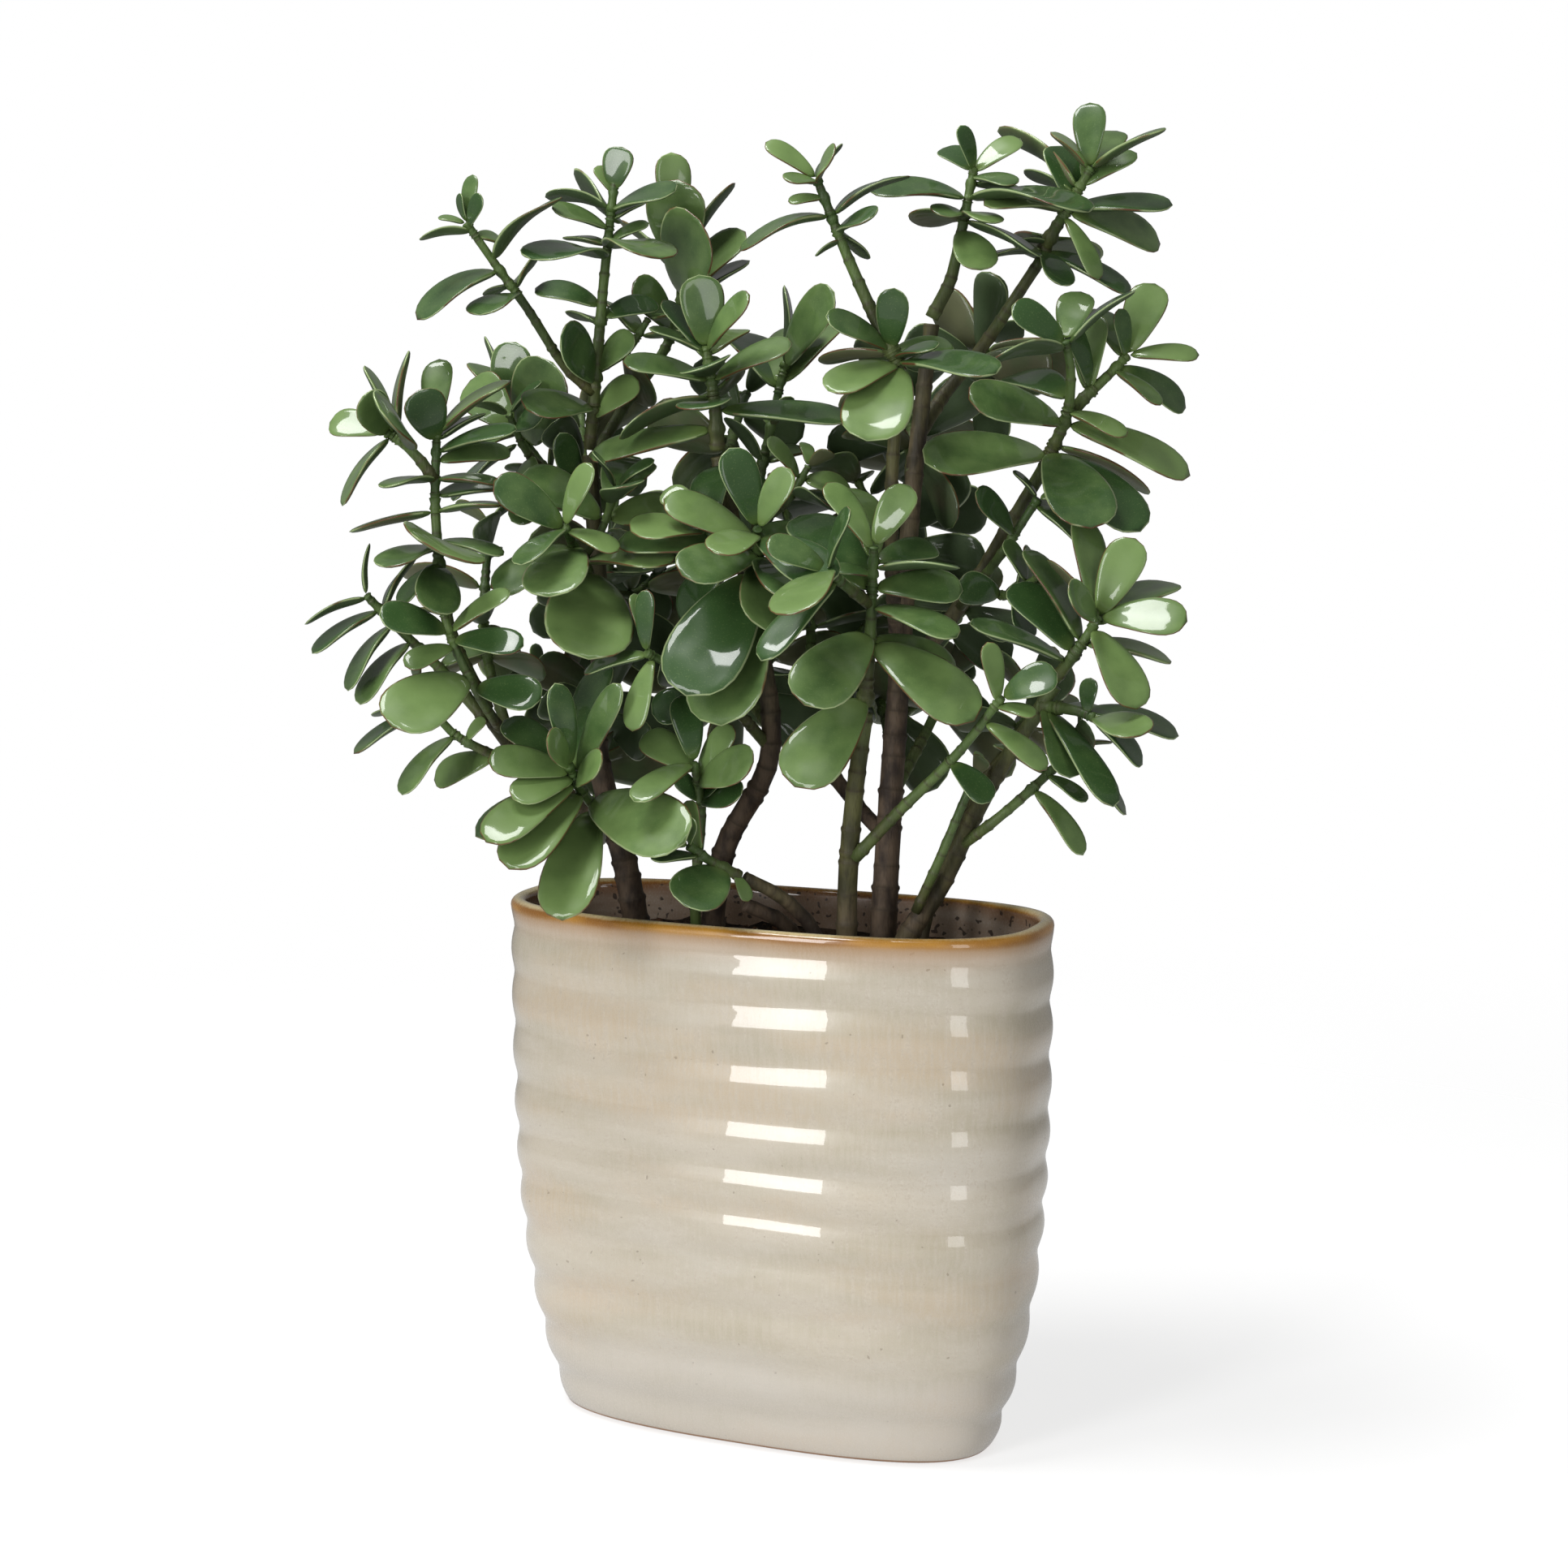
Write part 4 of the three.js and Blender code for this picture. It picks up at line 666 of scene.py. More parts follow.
shoot("front_tall", 50, [(38, -55, 338), (40, -60, 370), (41, -70, 407)], roll=20, tips=[
    (1, 57, -68, 434, 0.55, 76), (0.97, 20, -60, 435, 0.38, 60), (0.9, 70, -52, 406, 0.46, 58),
    (0.86, 79, -78, 398, 0.3, 14), (0.74, 81, -88, 388, 0.48, 62), (0.62, 77, -92, 369, 0.32, 46),
    (0.82, 23, -98, 398, 0.4, 52), (0.46, 10, -94, 340, 0.6, 74), (0.4, 85, -92, 333, 0.46, 68),
    (0.42, 80, -50, 351, 0.42, 55), (0.06, 6, -84, 304, 0.56, 70), (0.9, 34, -44, 432, 0.4, 60),
    (0.7, 8, -40, 420, 0.5, 60),
])
shoot("front_side", 38, [(40, -62, 382), (30, -75, 390), (21, -85, 398)], roll=40, tips=[
    (0.75, -8, -102, 360, 0.26, 55), (0.97, 5, -104, 381, 0.42, 50), (0.98, -6, -92, 410, 0.5, 62),
    (0.98, 31, -94, 425, 0.3, 22),
])
shoot("front_right", 40, [(34, -50, 271), (50, -59, 290), (77, -75, 320), (94, -90, 345)], tips=[
    (0.62, 91, -84, 299, 0.54, 68), (0.86, 114, -96, 314, 0.34, 62), (0.97, 87, -94, 370, 0.4, 62),
    (1, 118, -94, 356, 0.66, 66), (0.95, 109, -106, 338, 0.4, 55),
])
shoot("right", 44, [(120, -50, 349), (129, -60, 363), (137, -65, 377)], roll=45, tips=[
    (1, 153, -64, 412, 0.54, 76), (1, 174, -84, 376, 0.5, 68), (0.85, 151, -92, 338, 0.46, 64),
    (0.96, 120, -92, 389, 0.56, 64), (0.6, 106, -42, 407, 0.3, 40), (0.94, 114, -46, 402, 0.3, 8, 0.25),
    (0.9, 131, -42, 421, 0.34, 60), (0.85, 175, -30, 390, 0.32, 40), (0.6, 172, -52, 356, 0.28, 34, 0.25),
    (0.3, 79, -72, 375, 0.24, 36), (0.45, 100, -44, 391, 0.5, 60),
])
shoot("right_under", 46, [(114, -48, 337), (126, -60, 337), (136, -68, 334)], tips=[
    (0.35, 157, -62, 327, 0.3, 22, 0.3), (0.7, 174, -36, 325, 0.34, 36, 0.25),
    (0.9, 158, -62, 312, 0.38, 42), (0.1, 143, -88, 296, 0.26, 50, 0.1), (0.05, 125, -84, 307, 0.46, 58),
    (0.85, 134, -56, 352, 0.5, 55), (0.98, 152, -86, 330, 0.5, 60),
])
shoot("right_hanging", 32, [(80, -39, 274), (98, -50, 290), (121, -45, 310), (132, -40, 320)],
      pairs=[0.87, 1], roll=90, tips=[
    (0.6, 133, -62, 272, 0.3, 50, 0.25), (0.72, 134, -60, 296, 0.36, 46),
    (0.88, 154, -42, 287, 0.3, 30, 0.3), (0.72, 98, -20, 318, 0.4, 40),
])
shoot("right_outer", 42, [(129, -17, 463), (136, -18, 471), (146, -14, 480), (154, -11, 488)],
      roll=30, tips=[
    (1, 167, -5, 521, 0.58, 76), (0.96, 148, -22, 509, 0.4, 60), (0.93, 141, 12, 510, 0.5, 60),
    (1, 187, -12, 488, 0.34, 62), (0.8, 183, 0, 464, 0.42, 66), (0.75, 167, -32, 465, 0.3, 50),
    (0.35, 124, -34, 506, 0.34, 52), (0.3, 140, 4, 508, 0.42, 60),
])
shoot("right_inner", 38, [(120, -13, 444), (127, -22, 464), (127, -30, 483), (124, -35, 494)],
      roll=60, tips=[
    (0.96, 99, -32, 509, 0.56, 70), (0.92, 87, -52, 483, 0.3, 6, 0.25), (1, 132, -16, 516, 0.72, 72),
    (0.95, 156, -26, 516, 0.3, 16, 0.25), (0.3, 79, -52, 469, 0.44, 62), (0.02, 60, -50, 441, 0.4, 58),
    (0.03, 158, -40, 410, 0.44, 62), (0.05, 134, -56, 412, 0.54, 76), (0.4, 152, -38, 452, 0.36, 52),
    (0.3, 184, -20, 434, 0.32, 56), (0.1, 168, 2, 425, 0.26, 12, 0.25), (0.5, 104, 14, 480, 0.5, 60),
])
shoot("right_middle", 30, [(82, -3, 377), (97, -20, 399), (114, -28, 426)],
      pairs=[1], twigs=[(0.25, 300, 40)], tips=[
    (0.95, 140, -38, 400, 0.3, 44, 0.25), (0.94, 136, 4, 412, 0.4, 50), (0.7, 84, -46, 430, 0.42, 60),
])
shoot("right_top", 46, [(118, 15, 533), (123, 10, 543), (130, 5, 555), (138, 0, 570)], tips=[
    (0.98, 138, 8, 600, 0.52, 76), (0.6, 126, -12, 582, 0.8, 66), (0.97, 119, 22, 586, 0.5, 30),
    (0.85, 153, 16, 589, 0.46, 62), (0.78, 160, 4, 577, 0.36, 60), (0.97, 170, 0, 585, 0.3, 20),
    (0.75, 97, 30, 590, 0.2, 4, 0.35), (0.55, 176, -5, 553, 0.32, 45, 0.08), (0.5, 174, 22, 537, 0.44, 62),
    (0.5, 88, -12, 552, 0.3, 42, 0.35), (0.46, 142, -6, 519, 0.3, 60), (0.04, 159, -6, 514, 0.32, 45),
    (0.04, 92, 0, 531, 0.36, 20), (0.05, 125, -22, 517, 0.5, 60), (0.2, 130, 42, 530, 0.6, 40),
    (0.15, 102, 36, 538, 0.4, 20), (0.7, 112, 20, 568, 0.4, 20),
])
shoot("top_right", 48, [(69, 10, 505), (77, 8, 521), (82, 5, 544), (87, 5, 570)], roll=90, tips=[
    (0.98, 80, 0, 589, 0.44, 60), (0.98, 73, 16, 580, 0.7, 62), (0.97, 109, 12, 584, 0.46, 60),
    (0.94, 105, -14, 561, 0.42, 50), (0.9, 111, 16, 559, 0.3, 8), (0.8, 38, -10, 558, 0.33, 46, 0.34),
    (0.79, 136, -22, 546, 0.32, 34, 0.38), (0.7, 68, -24, 549, 0.5, 55), (0.7, 94, -22, 544, 0.5, 50),
    (0.68, 62, 34, 547, 0.4, 10), (0.66, 116, 12, 529, 0.3, 26), (0.6, 89, -30, 523, 0.66, 75),
])
shoot("top_centre", 48, [(53, -35, 483), (43, -35, 502), (31, -35, 528), (17, -38, 562)], tips=[
    (1, -6, -36, 578, 0.4, 62), (0.99, 25, -56, 572, 0.5, 40), (0.98, 3, -62, 560, 0.5, 50),
    (1, 28, -24, 577, 0.4, 20), (0.9, 4, -40, 552, 0.4, 60), (0.8, -18, -46, 529, 0.3, 30, 0.55),
    (0.8, 60, -28, 564, 0.34, 22, 0.45), (0.73, 42, -62, 545, 0.46, 56), (0.72, 36, -8, 531, 0.42, 40),
    (0.68, 16, -52, 529, 0.3, 8), (0.09, 50, -42, 517, 0.5, 76), (0.09, 19, -52, 504, 0.4, 58),
    (0.08, 78, -24, 492, 0.4, 52), (0.07, 18, -12, 484, 0.34, 10), (0.05, 68, -60, 490, 0.35, 45),
    (0.02, 93, -58, 478, 0.3, 52), (0.01, 20, -62, 471, 0.44, 56), (0.01, 37, -74, 449, 0.62, 78),
])
shoot("left_middle", 48, [(-82, 18, 384), (-87, -10, 398), (-92, -35, 414)],
      roll=20, twigs=[(0.5, 40, 38)], tips=[
    (0.98, -123, -48, 435, 0.5, 76), (1, -79, -42, 443, 0.38, 62), (0.97, -109, -68, 398, 0.34, 45),
    (0.95, -67, -46, 403, 0.38, 52), (0.72, -97, -70, 384, 0.58, 74), (0.75, -124, -50, 384, 0.46, 56),
    (0.35, -80, -66, 356, 0.58, 76), (0.5, -43, -46, 398, 0.3, 38), (0.6, -112, -10, 398, 0.5, 60),
])
shoot("left_inner", 44, [(-83, 18, 416), (-99, 40, 429), (-115, 50, 448), (-127, 55, 468)],
      pairs=[0.5], roll=10, twigs=[(0.5, 250, 36)], tips=[
    (0.95, -119, 46, 497, 0.66, 76), (0.7, -100, 36, 488, 0.72, 66), (1, -137, 56, 499, 0.3, 8),
    (0.2, -98, 14, 456, 0.36, 60), (0.9, -142, 50, 487, 0.4, 40), (0.8, -142, 36, 447, 0.4, 50),
    (0.35, -122, 26, 413, 0.55, 66),
])
shoot("far_left", 42, [(-128, -18, 333), (-143, -28, 369), (-149, -25, 417), (-148, -25, 456)], tips=[
    (0.96, -155, -36, 474, 0.8, 76), (1, -148, -10, 488, 0.46, 76), (0.98, -114, -18, 478, 0.3, 30, 0.25),
    (0.96, -128, -8, 463, 0.36, 30), (0.92, -110, -36, 456, 0.28, 40, 0.2),
    (0.89, -115, -14, 446, 0.36, 58), (0.83, -169, -52, 431, 0.34, 30), (0.83, -118, -30, 432, 0.3, 30),
    (0.77, -117, -8, 431, 0.34, 40), (0.72, -188, -32, 411, 0.24, 18, 0.1),
    (0.72, -117, -32, 423, 0.28, 20), (0.62, -117, -26, 401, 0.3, 32), (0.6, -168, -62, 397, 0.42, 46),
    (0.6, -140, -62, 404, 0.5, 40), (0.54, -146, -64, 377, 0.5, 62), (0.54, -165, -46, 379, 0.42, 42),
])
shoot("far_left_fork", 40, [(-149, -25, 434), (-159, -28, 447), (-170, -30, 455)], tips=[
    (0.98, -196, -24, 459, 0.62, 70), (0.95, -177, -52, 471, 0.66, 76), (0.8, -160, -36, 492, 0.3, 16),
    (0.85, -180, -14, 485, 0.3, 14), (0.88, -188, -42, 421, 0.3, 26, 0.3), (0.6, -166, -52, 465, 0.4, 50),
])
shoot("left_front", 26, [(-122, -15, 322), (-131, -45, 345), (-141, -50, 369), (-144, -50, 381)],
      pairs=[1], roll=30, tips=[
    (0.8, -106, -64, 364, 0.42, 62), (0.84, -113, -28, 388, 0.32, 48), (0.85, -170, -70, 378, 0.5, 62),
    (0.76, -160, -62, 355, 0.5, 62), (0.58, -163, -80, 331, 0.6, 76), (0.5, -99, -62, 341, 0.54, 70),
    (0.95, -155, -66, 378, 0.3, 20),
])
shoot("far_left_low", 40, [(-129, -18, 328), (-145, -15, 346), (-160, -20, 362), (-179, -32, 384)],
      roll=60, tips=[
    (1, -177, -30, 408, 0.3, 10, 0.3), (0.98, -206, -42, 371, 0.28, 12, 0.3),
    (0.88, -203, -42, 358, 0.3, 34, 0.2), (0.86, -159, -38, 400, 0.3, 18, 0.3),
    (0.77, -187, -42, 341, 0.32, 32, 0.3), (0.62, -182, -52, 335, 0.34, 42, 0.3),
    (0.55, -160, -10, 343, 0.4, 40), (0.4, -128, -2, 360, 0.4, 50),
])
shoot("left_bottom", 28, [(-112, -9, 308), (-128, -22, 314), (-143, -25, 323), (-152, -28, 334)],
      pairs=[1], tips=[
    (1, -186, -42, 314, 0.28, 28, 0.25), (0.98, -181, -16, 329, 0.3, 10, 0.25),
    (0.7, -164, -46, 296, 0.32, 40, 0.3), (0.3, -155, -8, 299, 0.46, 66), (0.6, -128, 6, 330, 0.5, 50),
])
shoot("front_left", 48, [(-72, 8, 270), (-80, -20, 288), (-87, -42, 302), (-90, -52, 312)], roll=70, tips=[
    (0.97, -95, -66, 351, 0.3, 62), (0.82, -65, -66, 351, 0.24, 62), (0.9, -75, -36, 356, 0.3, 52),
    (0.93, -126, -62, 315, 0.46, 62), (1, -98, -78, 327, 0.46, 52), (0.9, -121, -36, 331, 0.42, 54),
    (0.84, -125, -84, 281, 0.38, 64), (0.8, -133, -52, 279, 0.34, 42), (0.72, -115, -94, 269, 0.42, 68),
    (0.66, -117, -58, 266, 0.42, 46), (0.88, -114, -52, 299, 0.46, 64), (0.5, -92, -98, 245, 0.42, 72),
    (0.82, -73, -84, 317, 0.42, 62), (0.6, -36, -84, 281, 0.48, 78), (0.4, -90, -50, 262, 0.4, 60),
])
shoot("low_front", 30, [(-16, -50, 263), (-28, -55, 270), (-38, -60, 278)], pairs=[0.75, 1], roll=62, tips=[
    (0.3, -40, -92, 254, 0.78, 76), (0.1, -12, -76, 252, 0.5, 60),
])
shoot("centre_small", 36, [(-4, -5, 315), (-20, -25, 335), (-38, -42, 350), (-56, -55, 361)],
      pairs=[0.5, 0.68], roll=20, tips=[
    (1, -55, -62, 390, 0.34, 62), (0.99, -62, -54, 387, 0.3, 60), (0.97, -85, -72, 351, 0.3, 38),
    (0.95, -62, -84, 326, 0.36, 60), (0.85, -36, -80, 366, 0.4, 56),
])
shoot("centre_low", 36, [(-36, -14, 212), (-36, -24, 255), (-33, -34, 290), (-36, -46, 312)],
      pairs=[0.8], tips=[
    (1, -42, -62, 343, 0.5, 70), (0.9, -18, -66, 330, 0.42, 60), (1, -62, -66, 298, 0.34, 56),
    (0.95, -60, -66, 324, 0.6, 66), (0.9, -8, -62, 316, 0.5, 66), (0.8, -14, -60, 300, 0.5, 60),
])
shoot("sprout", 26, [(61, -43, 246), (72, -50, 273), (79, -52, 291), (86, -52, 308)], pairs=[1], roll=90)
shoot("back_left", 42, [(-82, 16, 316), (-82, 60, 328), (-78, 105, 344)],
      pairs=SIX_PAIRS, roll=24, twigs=[(0.45, 160, 40)])
shoot("back_left_high", 46, [(-80, 21, 360), (-80, 65, 385), (-77, 100, 425)],
      pairs=SIX_PAIRS, roll=40, twigs=[(0.4, 30, 40)])
shoot("back_centre", 48, [(-4, -5, 325), (-18, 55, 340), (-31, 110, 368)],
      pairs=SIX_PAIRS, roll=20, twigs=[(0.5, 0, 40)])
shoot("back_middle", 44, [(12, 32, 329), (16, 50, 352), (14, 62, 388)],
      pairs=[0.2, 0.42, 0.62, 0.82, 1], roll=60, twigs=[(0.35, 20, 36)])
shoot("back_right_low", 46, [(53, -4, 305), (50, 60, 325), (40, 115, 352)],
      pairs=[0.5, 0.64, 0.78, 0.9, 1], roll=50, twigs=[(0.5, 20, 40)])
shoot("back_right_high", 48, [(58, 2, 385), (60, 60, 415), (64, 105, 447)],
      pairs=SIX_PAIRS, twigs=[(0.45, 200, 40)])
shoot("back_far_right", 38, [(88, -1, 386), (82, 50, 366), (74, 92, 354)], pairs=FIVE_PAIRS, roll=30)
shoot("back_side", 36, [(104, 5, 313), (114, 30, 322), (121, 50, 338)],
      pairs=[0.42, 0.62, 0.82, 1], roll=20)
shoot("back_top", 44, [(60, 4, 436), (62, 50, 455), (58, 85, 478)],
      pairs=FIVE_PAIRS, roll=50, twigs=[(0.45, 200, 36)])
shoot("back_far_left", 36, [(-118, -11, 314), (-134, 30, 360), (-134, 58, 412)],
      pairs=[0.44, 0.58, 0.73, 0.87, 1])
shoot("back_top_left", 35, [(-84, 15, 430), (-90, 50, 446), (-92, 76, 462)],
      pairs=[0.4, 0.6, 0.8, 1], roll=30)
shoot("back_top_right", 42, [(86, 24, 484), (94, 52, 490), (98, 74, 500)], pairs=FIVE_PAIRS, roll=10)
shoot("back_centre_high", 42, [(-24, -13, 430), (-20, 30, 452), (-14, 64, 472)],
      pairs=[0.4, 0.6, 0.8, 1], roll=40)
shoot("back_low_left", 44, [(-69, 8, 262), (-82, 50, 280), (-95, 88, 306)],
      pairs=[0.35, 0.57, 0.79, 1], roll=10)
shoot("back_low_right", 44, [(52, -4, 292), (74, 45, 325), (86, 88, 350)], pairs=[0.6, 0.8, 1], roll=20)

LEAF_WIDTH, LEAF_DROOP, LEAF_CUP, LEAF_BODY = 0.66, 0.18, 0.1, 0.0021
FACING_OUT, LEAST_FACING = 28, 0.62
TO_VIEWER = np.array(seen_from_front(0, -1, 0.3).normalized())
LEAF_POINTS = (
    (0.15, 0), (0.3, 1), (0.55, 1), (0.8, 1), (1, 0), (0.8, -1), (0.55, -1), (0.3, -1),
    (0.35, 0), (0.55, 0.5), (0.7, 0), (0.55, -0.5), (0.85, 0),
)
# How near is too near: to another leaf, to the other leaf of a pair, and to a stem.
REACH, PAIR_REACH, STEM_REACH = 0.0032, 0.0006, 0.0055
ONE_PLACE, MEETING, OWN_STEM, FAR_STEM = 0.004, 0.62, 0.009, 0.08
CLEAR, TOO_CROWDED = 0.5, 3
SHIFTS = (0, -10, 10, -20, 20, -30, 30)
SWINGS = (
    (0, 0), (14, 0), (-14, 0), (0, 14), (0, -14), (20, 14), (-20, 14), (20, -14), (-20, -14),
    (32, 0), (-32, 0), (0, 28), (32, 24), (-32, 24), (0, -30),
)


def half_width(u):
    """The leaf's outline: a narrow foot, widest past the middle, and a round tip."""
    return 0.1 * (1 - u) ** 2 + 0.77 * max(0, u) ** 0.8 * (1 - u ** 3.4 if u > 0 else 1) ** 0.5


class Leaf:
    """A shallow dish over its own plane: out along it, to its side, and up from its face."""

    def __init__(self, root, out, up, length, width, droop):
        self.root, self.out, self.side, self.up = root, out, np.cross(up, out), up
        self.length, self.width, self.droop = length, width, droop
        self.middle = root + out * length / 2
        self.points = np.array([self.point(u, v) for u, v in LEAF_POINTS])

    def rise(self, u, v):
        return LEAF_CUP * self.width * v * v * math.sin(math.pi * u) - self.droop * self.length * u * u

    def point(self, u, v, lift=0.0):
        across = self.side * (v * self.width * half_width(u))
        return self.root + self.out * (u * self.length) + across + self.up * (self.rise(u, v) + lift)

    def hits(self, points, reach):
        """How many points come near this leaf, or pass through it from the one before."""
        found, before = 0, 0.0
        apart = points - self.root
        outs, sides, ups = apart @ self.out / self.length, apart @ self.side, apart @ self.up
        for u, across, above in zip(outs, sides, ups):
            height = 0.0
            if 0.02 < u < 1.04:
                half = self.width * half_width(min(u, 0.99)) + reach / 2
                if abs(across) < half:
                    height = above - self.rise(u, across / half)
            found += height != 0 and abs(height) < reach
            found += height * before < 0 and abs(height - before) < 0.8 * self.length
            before = height
        return found


def turned(vector, axis, degrees):
    c, s = math.cos(math.radians(degrees)), math.sin(math.radians(degrees))
    return vector * c + np.cross(axis, vector) * s + axis * np.dot(axis, vector) * (1 - c)


def inside_pot(point):
    length, depth = RIM_LENGTH + 0.002, RIM_DEPTH + 0.002
    reach = abs(point[0] / length) ** SQUARENESS + abs(point[1] / depth) ** SQUARENESS
    return point[2] < POT_HEIGHT + 0.003 and reach < 1


def crowding(leaf, others, stem_points):
    """How many points of the other leaves, the stems and the pot a leaf comes too near."""
    cost = 2 * sum(inside_pot(p) for p in leaf.points)
    for other in others:
        if np.linalg.norm(other.middle - leaf.middle) > (other.length + leaf.length) * MEETING:
            continue
        paired = np.linalg.norm(other.root - leaf.root) < ONE_PLACE
        reach, skip = (PAIR_REACH, 1) if paired else (REACH, 0)
        cost += other.hits(leaf.points[skip:], reach) + leaf.hits(other.points[skip:], reach)
    for point in stem_points:
        if OWN_STEM < np.linalg.norm(point - leaf.root) < FAR_STEM:
            cost += leaf.hits(point[None], STEM_REACH)
    return cost


def least_crowded(tries, others, stem_points):
    """The first leaf tried that stands clear, or else the best of them, and its cost. Each try brings
    the small cost of its own shift or swing."""
    best = None
    for own_cost, leaf in tries:
        cost = own_cost + crowding(leaf, others, stem_points)
        if best is None or cost < best[0]:
            best = (cost, leaf)
        if cost < CLEAR:
            break
    return best


def leaf_to_tip(root, across, back, height, wide, face, droop=LEAF_DROOP):
    """Tries a leaf from its root to a known tip, with the tip shifted forwards or back."""
    tilt = math.radians(face)
    for shift in SHIFTS:
        chord = np.array(seen_from_front(across, back + shift, height)) * 0.001 - root
        span = np.linalg.norm(chord)
        chord /= span
        ahead = unit(TO_VIEWER - chord * np.dot(TO_VIEWER, chord))
        edge = np.cross(chord, ahead)
        up = ahead * math.sin(tilt) + edge * math.copysign(math.cos(tilt), edge[2])
        out = (chord + up * droop) / math.hypot(1, droop)
        up = unit(up - out * np.dot(up, out))
        width = span * wide / max(LEAST_FACING, math.sin(tilt))
        yield abs(shift) / 1000, Leaf(root, out, up, span / math.hypot(1, droop), width, droop)


def leaf_of_pair(stalk, pair, half, seed):
    """Tries one leaf of a pair, swung round the stem or lifted along it. Pairs close up towards the tip."""
    share, young = stalk.pairs[pair], len(stalk.pairs) - 1 - pair
    along, start = stalk.route.along(min(share, 0.98)), stalk.route.point(share)
    side, front = cross_axes(along)
    size = min(1, 0.5 + 0.27 * young) * (1 - 0.05 * max(0, young - 2))
    length = stalk.leaf * size * (1 + 0.12 * unevenness(seed, 1))
    width = length * LEAF_WIDTH * (1 + 0.16 * unevenness(seed, 2))
    droop = LEAF_DROOP * (1 + 0.7 * unevenness(seed, 6))
    out_of_crown = unit(start - np.array(seen_from_front(0, 0.06, start[2])))
    for swing, lift in SWINGS:
        turn = math.radians(stalk.roll + 90 * pair + 180 * half + 12 * unevenness(seed, 3) + swing)
        spread = math.radians(min(108, 40 + 18 * young) + 9 * unevenness(seed, 4) - lift)
        radial = side * math.cos(turn) + front * math.sin(turn)
        out = along * math.cos(spread) + radial * math.sin(spread)
        up = along * math.sin(spread) - radial * math.cos(spread)
        lean = FACING_OUT * np.dot(out, np.cross(up, out_of_crown))
        up = turned(up, out, lean + 14 * unevenness(seed, 5))
        root = start + radial * (0.0008 if young else 0.0004)
        yield (abs(swing) + abs(lift)) / 1000, Leaf(root, out, up, length, width, droop)


def add_leaf(mesh, leaf, layers):
    """A fleshy leaf: a sphere drawn out along it, flat and dished above, rounded below."""
    edge_mark, under_mark, along_mark, tint_mark = layers
    made = bmesh.ops.create_uvsphere(mesh, u_segments=8, v_segments=7, radius=1)["verts"]
    for vert in made:
        s = 1 - math.acos(max(-1, min(1, vert.co.z))) / math.pi
        u = 1.03 * s ** 0.92 - 0.03
        ring = math.hypot(vert.co.x, vert.co.y)
        v, face = (vert.co.x / ring, vert.co.y / ring) if ring > 1e-4 else (0, 0)
        body = LEAF_BODY * (1.2 - 0.55 * u) * min(1, 0.55 + 2 * u) * (leaf.length / 0.045) ** 0.5
        lift = body * math.copysign(abs(face) ** 0.8, face) * (0.75 if face > 0 else 1.25)
        vert.co = leaf.point(u, v, lift)
        vert[edge_mark] = abs(v) if ring > 1e-4 else (1 if u > 0.5 else 0)
        vert[under_mark] = 0.5 - 0.5 * face
        vert[along_mark], vert[tint_mark] = u, leaf.tint


leaf_skin = Finish("jade_leaf", Coat_Roughness=0.05, Specular_IOR_Level=0.24)
place = leaf_skin.place()
edge, under, along = leaf_skin.mark("edge"), leaf_skin.mark("under"), leaf_skin.mark("along")
tint = leaf_skin.mark("tint")
mottle = leaf_skin.grain(place, (90, 90, 90), detail=4)
waves = leaf_skin.grain(place, (70, 70, 70), detail=0)
dots = leaf_skin.grain(place, (1500, 1500, 1500), detail=1)
blush = leaf_skin.grain(place, (38, 38, 38), detail=2)
lightness = (mottle * 0.5 + tint * 0.4 + 0.18).rise(0.2, 0.85)
colour = lightness.between(paint(52, 80, 40), paint(111, 137, 79))
colour = (dots.rise(0.62, 0.72) * 0.25).between(colour, paint(120, 140, 88))
colour = ((1 - along.rise(0.02, 0.28)) * 0.5).between(colour, paint(108, 128, 64))
shaded = (blush * 0.8 + tint * 0.2).rise(0.42, 0.62).between(paint(68, 82, 56), paint(88, 79, 65))
colour = (under.rise(0.5, 0.75) * 0.75).between(colour, shaded)
# The thin margin line: red-brown where the leaf's own margin shows, and pale elsewhere as a painted
# highlight on the rounded edge.
rim = edge.rise(0.88, 0.96)
margin_and_highlight_colour = (blush + tint * 0.12).rise(0.5, 0.6).between(paint(170, 186, 134), paint(104, 44, 32))
colour = (rim * 0.75).between(colour, margin_and_highlight_colour)
leaf_skin.join(Base_Color=colour, Roughness=0.28 + mottle * 0.14 + under * 0.26)
leaf_skin.join(Coat_Weight=0.75 - under * 0.6)
leaf_skin.relief(waves, 0.0015)

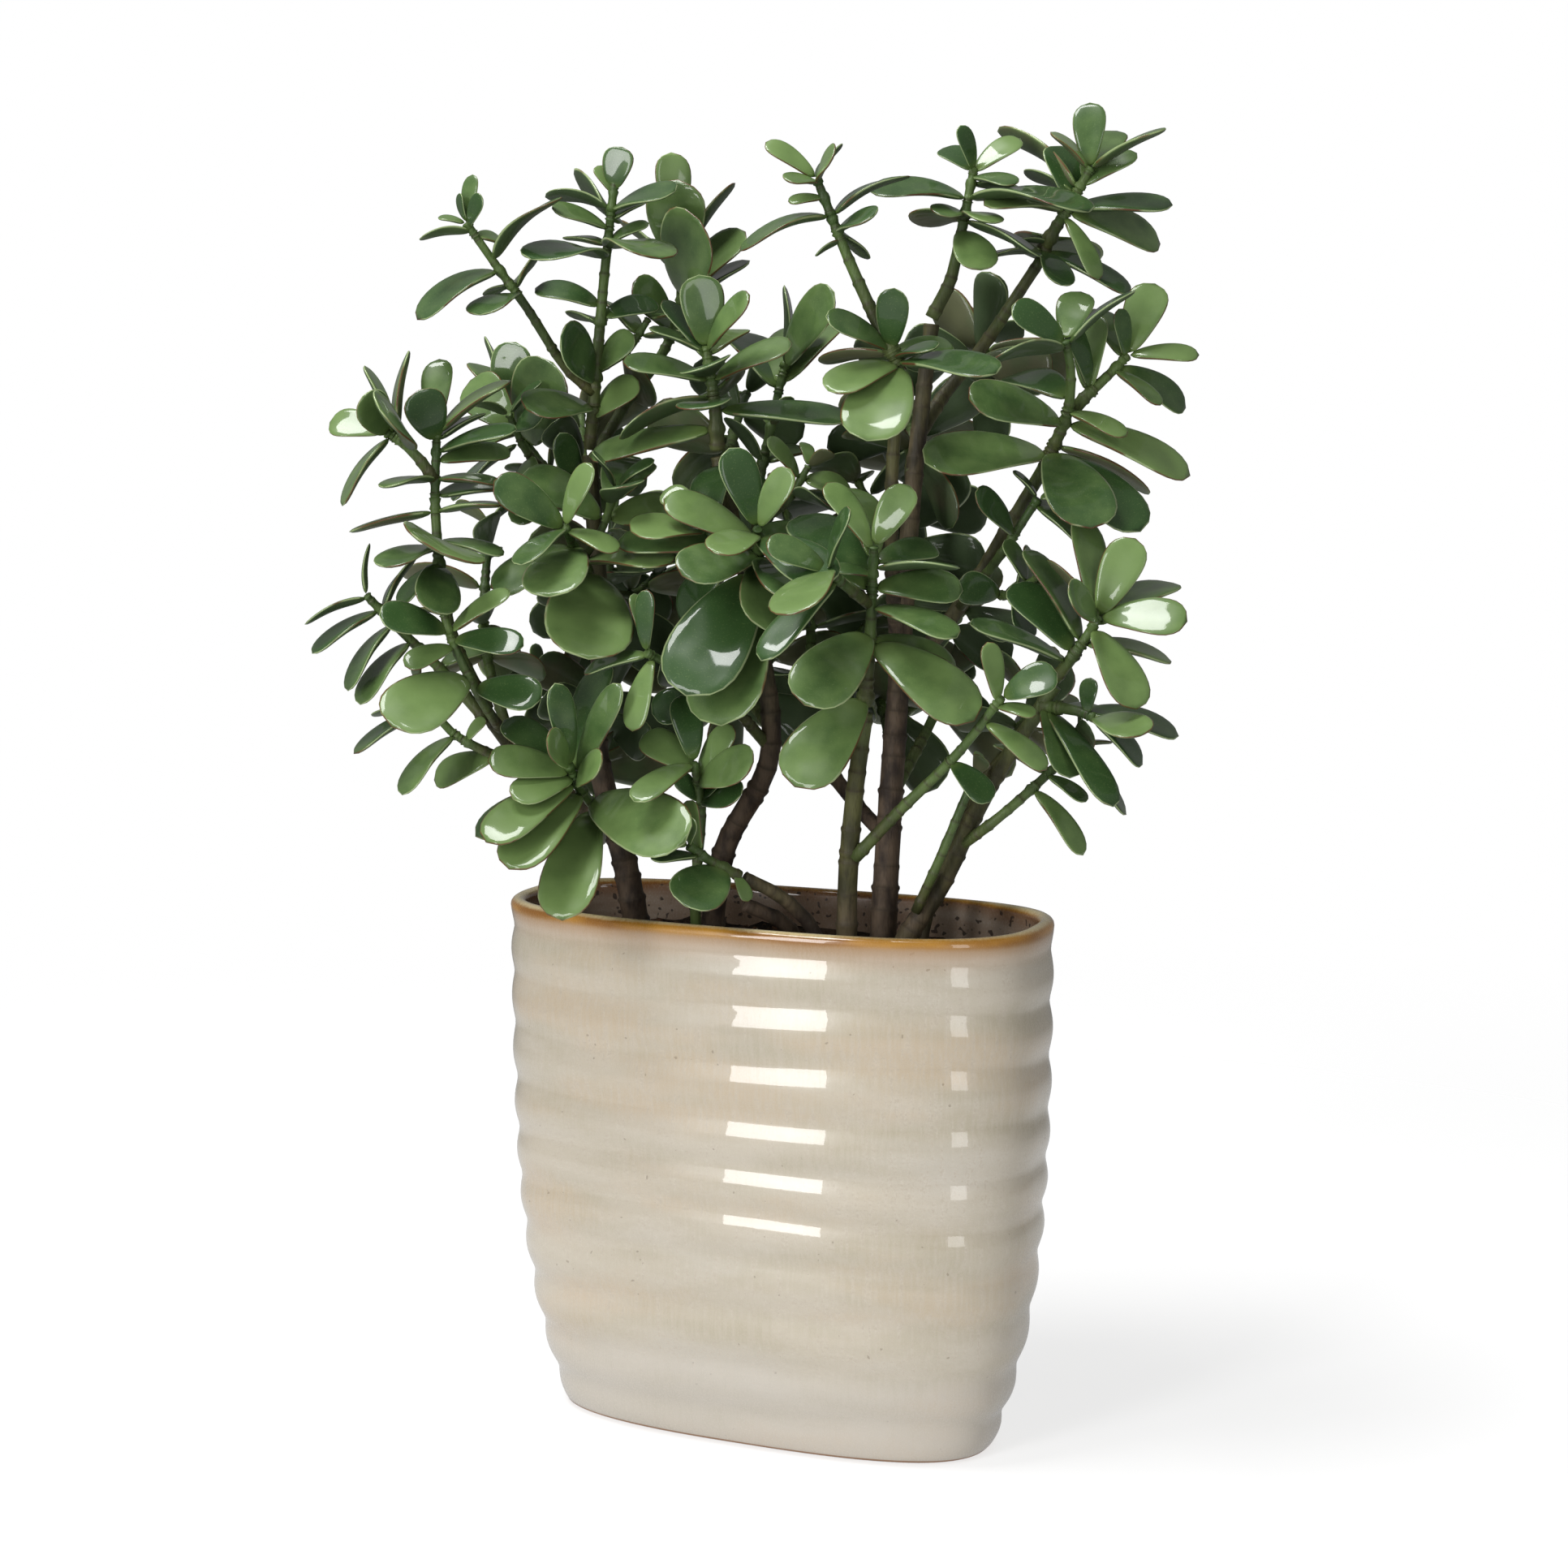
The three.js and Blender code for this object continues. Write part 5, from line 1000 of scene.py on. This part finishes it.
STALK_SCARS, STALK_SIDES, STALK_YOUTH = (0.0085, 0.0007, 0.13), 10, (0.7, 1)
SEEDS_A_SHOOT, TWIG_SEEDS, FIRST_SEED = 31, 60, 500
stem_points = []
for *_, path in WOODY_STEMS.values():
    route = charted(path)
    stem_points += [route.point(k * 0.08) for k in range(13)]
for stalk in sum((stalks for stalks, _ in SHOOTS.values()), []):
    stem_points += [stalk.route.point(share) for share in np.arange(0.1, 0.9999, stalk.points_every)]
all_leaves, leaves_of = [], {name: [] for name in SHOOTS}


def keep(name, leaf, tint):
    leaf.tint = tint
    leaves_of[name].append(leaf)
    all_leaves.append(leaf)


for index, (name, (stalks, tips)) in enumerate(SHOOTS.items()):
    for number, (share, *tip) in enumerate(tips):
        tries = leaf_to_tip(stalks[0].route.point(share), *tip)
        _, leaf = least_crowded(tries, all_leaves, stem_points)
        keep(name, leaf, 0.8 * unevenness(index * SEEDS_A_SHOOT + number, 8) + 0.1)
for index, (name, (stalks, tips)) in enumerate(SHOOTS.items()):
    stalk_mesh, leaf_mesh = bmesh.new(), bmesh.new()
    for k, stalk in enumerate(stalks):
        for pair, half in ((pair, half) for pair in range(len(stalk.pairs)) for half in (0, 1)):
            seed = (index + k * TWIG_SEEDS) * SEEDS_A_SHOOT + pair * 2 + half
            cost, leaf = least_crowded(leaf_of_pair(stalk, pair, half, seed), all_leaves, stem_points)
            if cost < TOO_CROWDED:
                keep(name, leaf, unevenness(seed, 7) - 0.35 * min(len(stalk.pairs) - 1 - pair, 4) / 4 + 0.2)
        nodes = stalk.pairs if k else sorted([*stalk.pairs, *(row[0] for row in tips[::2])])
        seed = FIRST_SEED + 11 * index + k
        stations = ringed_stations(stalk.route, STALK_YOUTH, STALK_SCARS, seed, nodes)
        grow_tube(stalk_mesh, stalk.route, *stalk.radii, stations, STALK_SIDES)
    finished(name + "_stalk", stalk_mesh, bark.material, "leaf")
    layers = [leaf_mesh.verts.layers.float.new(mark) for mark in ("edge", "under", "along", "tint")]
    for leaf in leaves_of[name]:
        add_leaf(leaf_mesh, leaf, layers)
    bmesh.ops.recalc_face_normals(leaf_mesh, faces=leaf_mesh.faces)
    finished(name + "_leaves", leaf_mesh, leaf_skin.material, "leaf", name, subdivided=1)
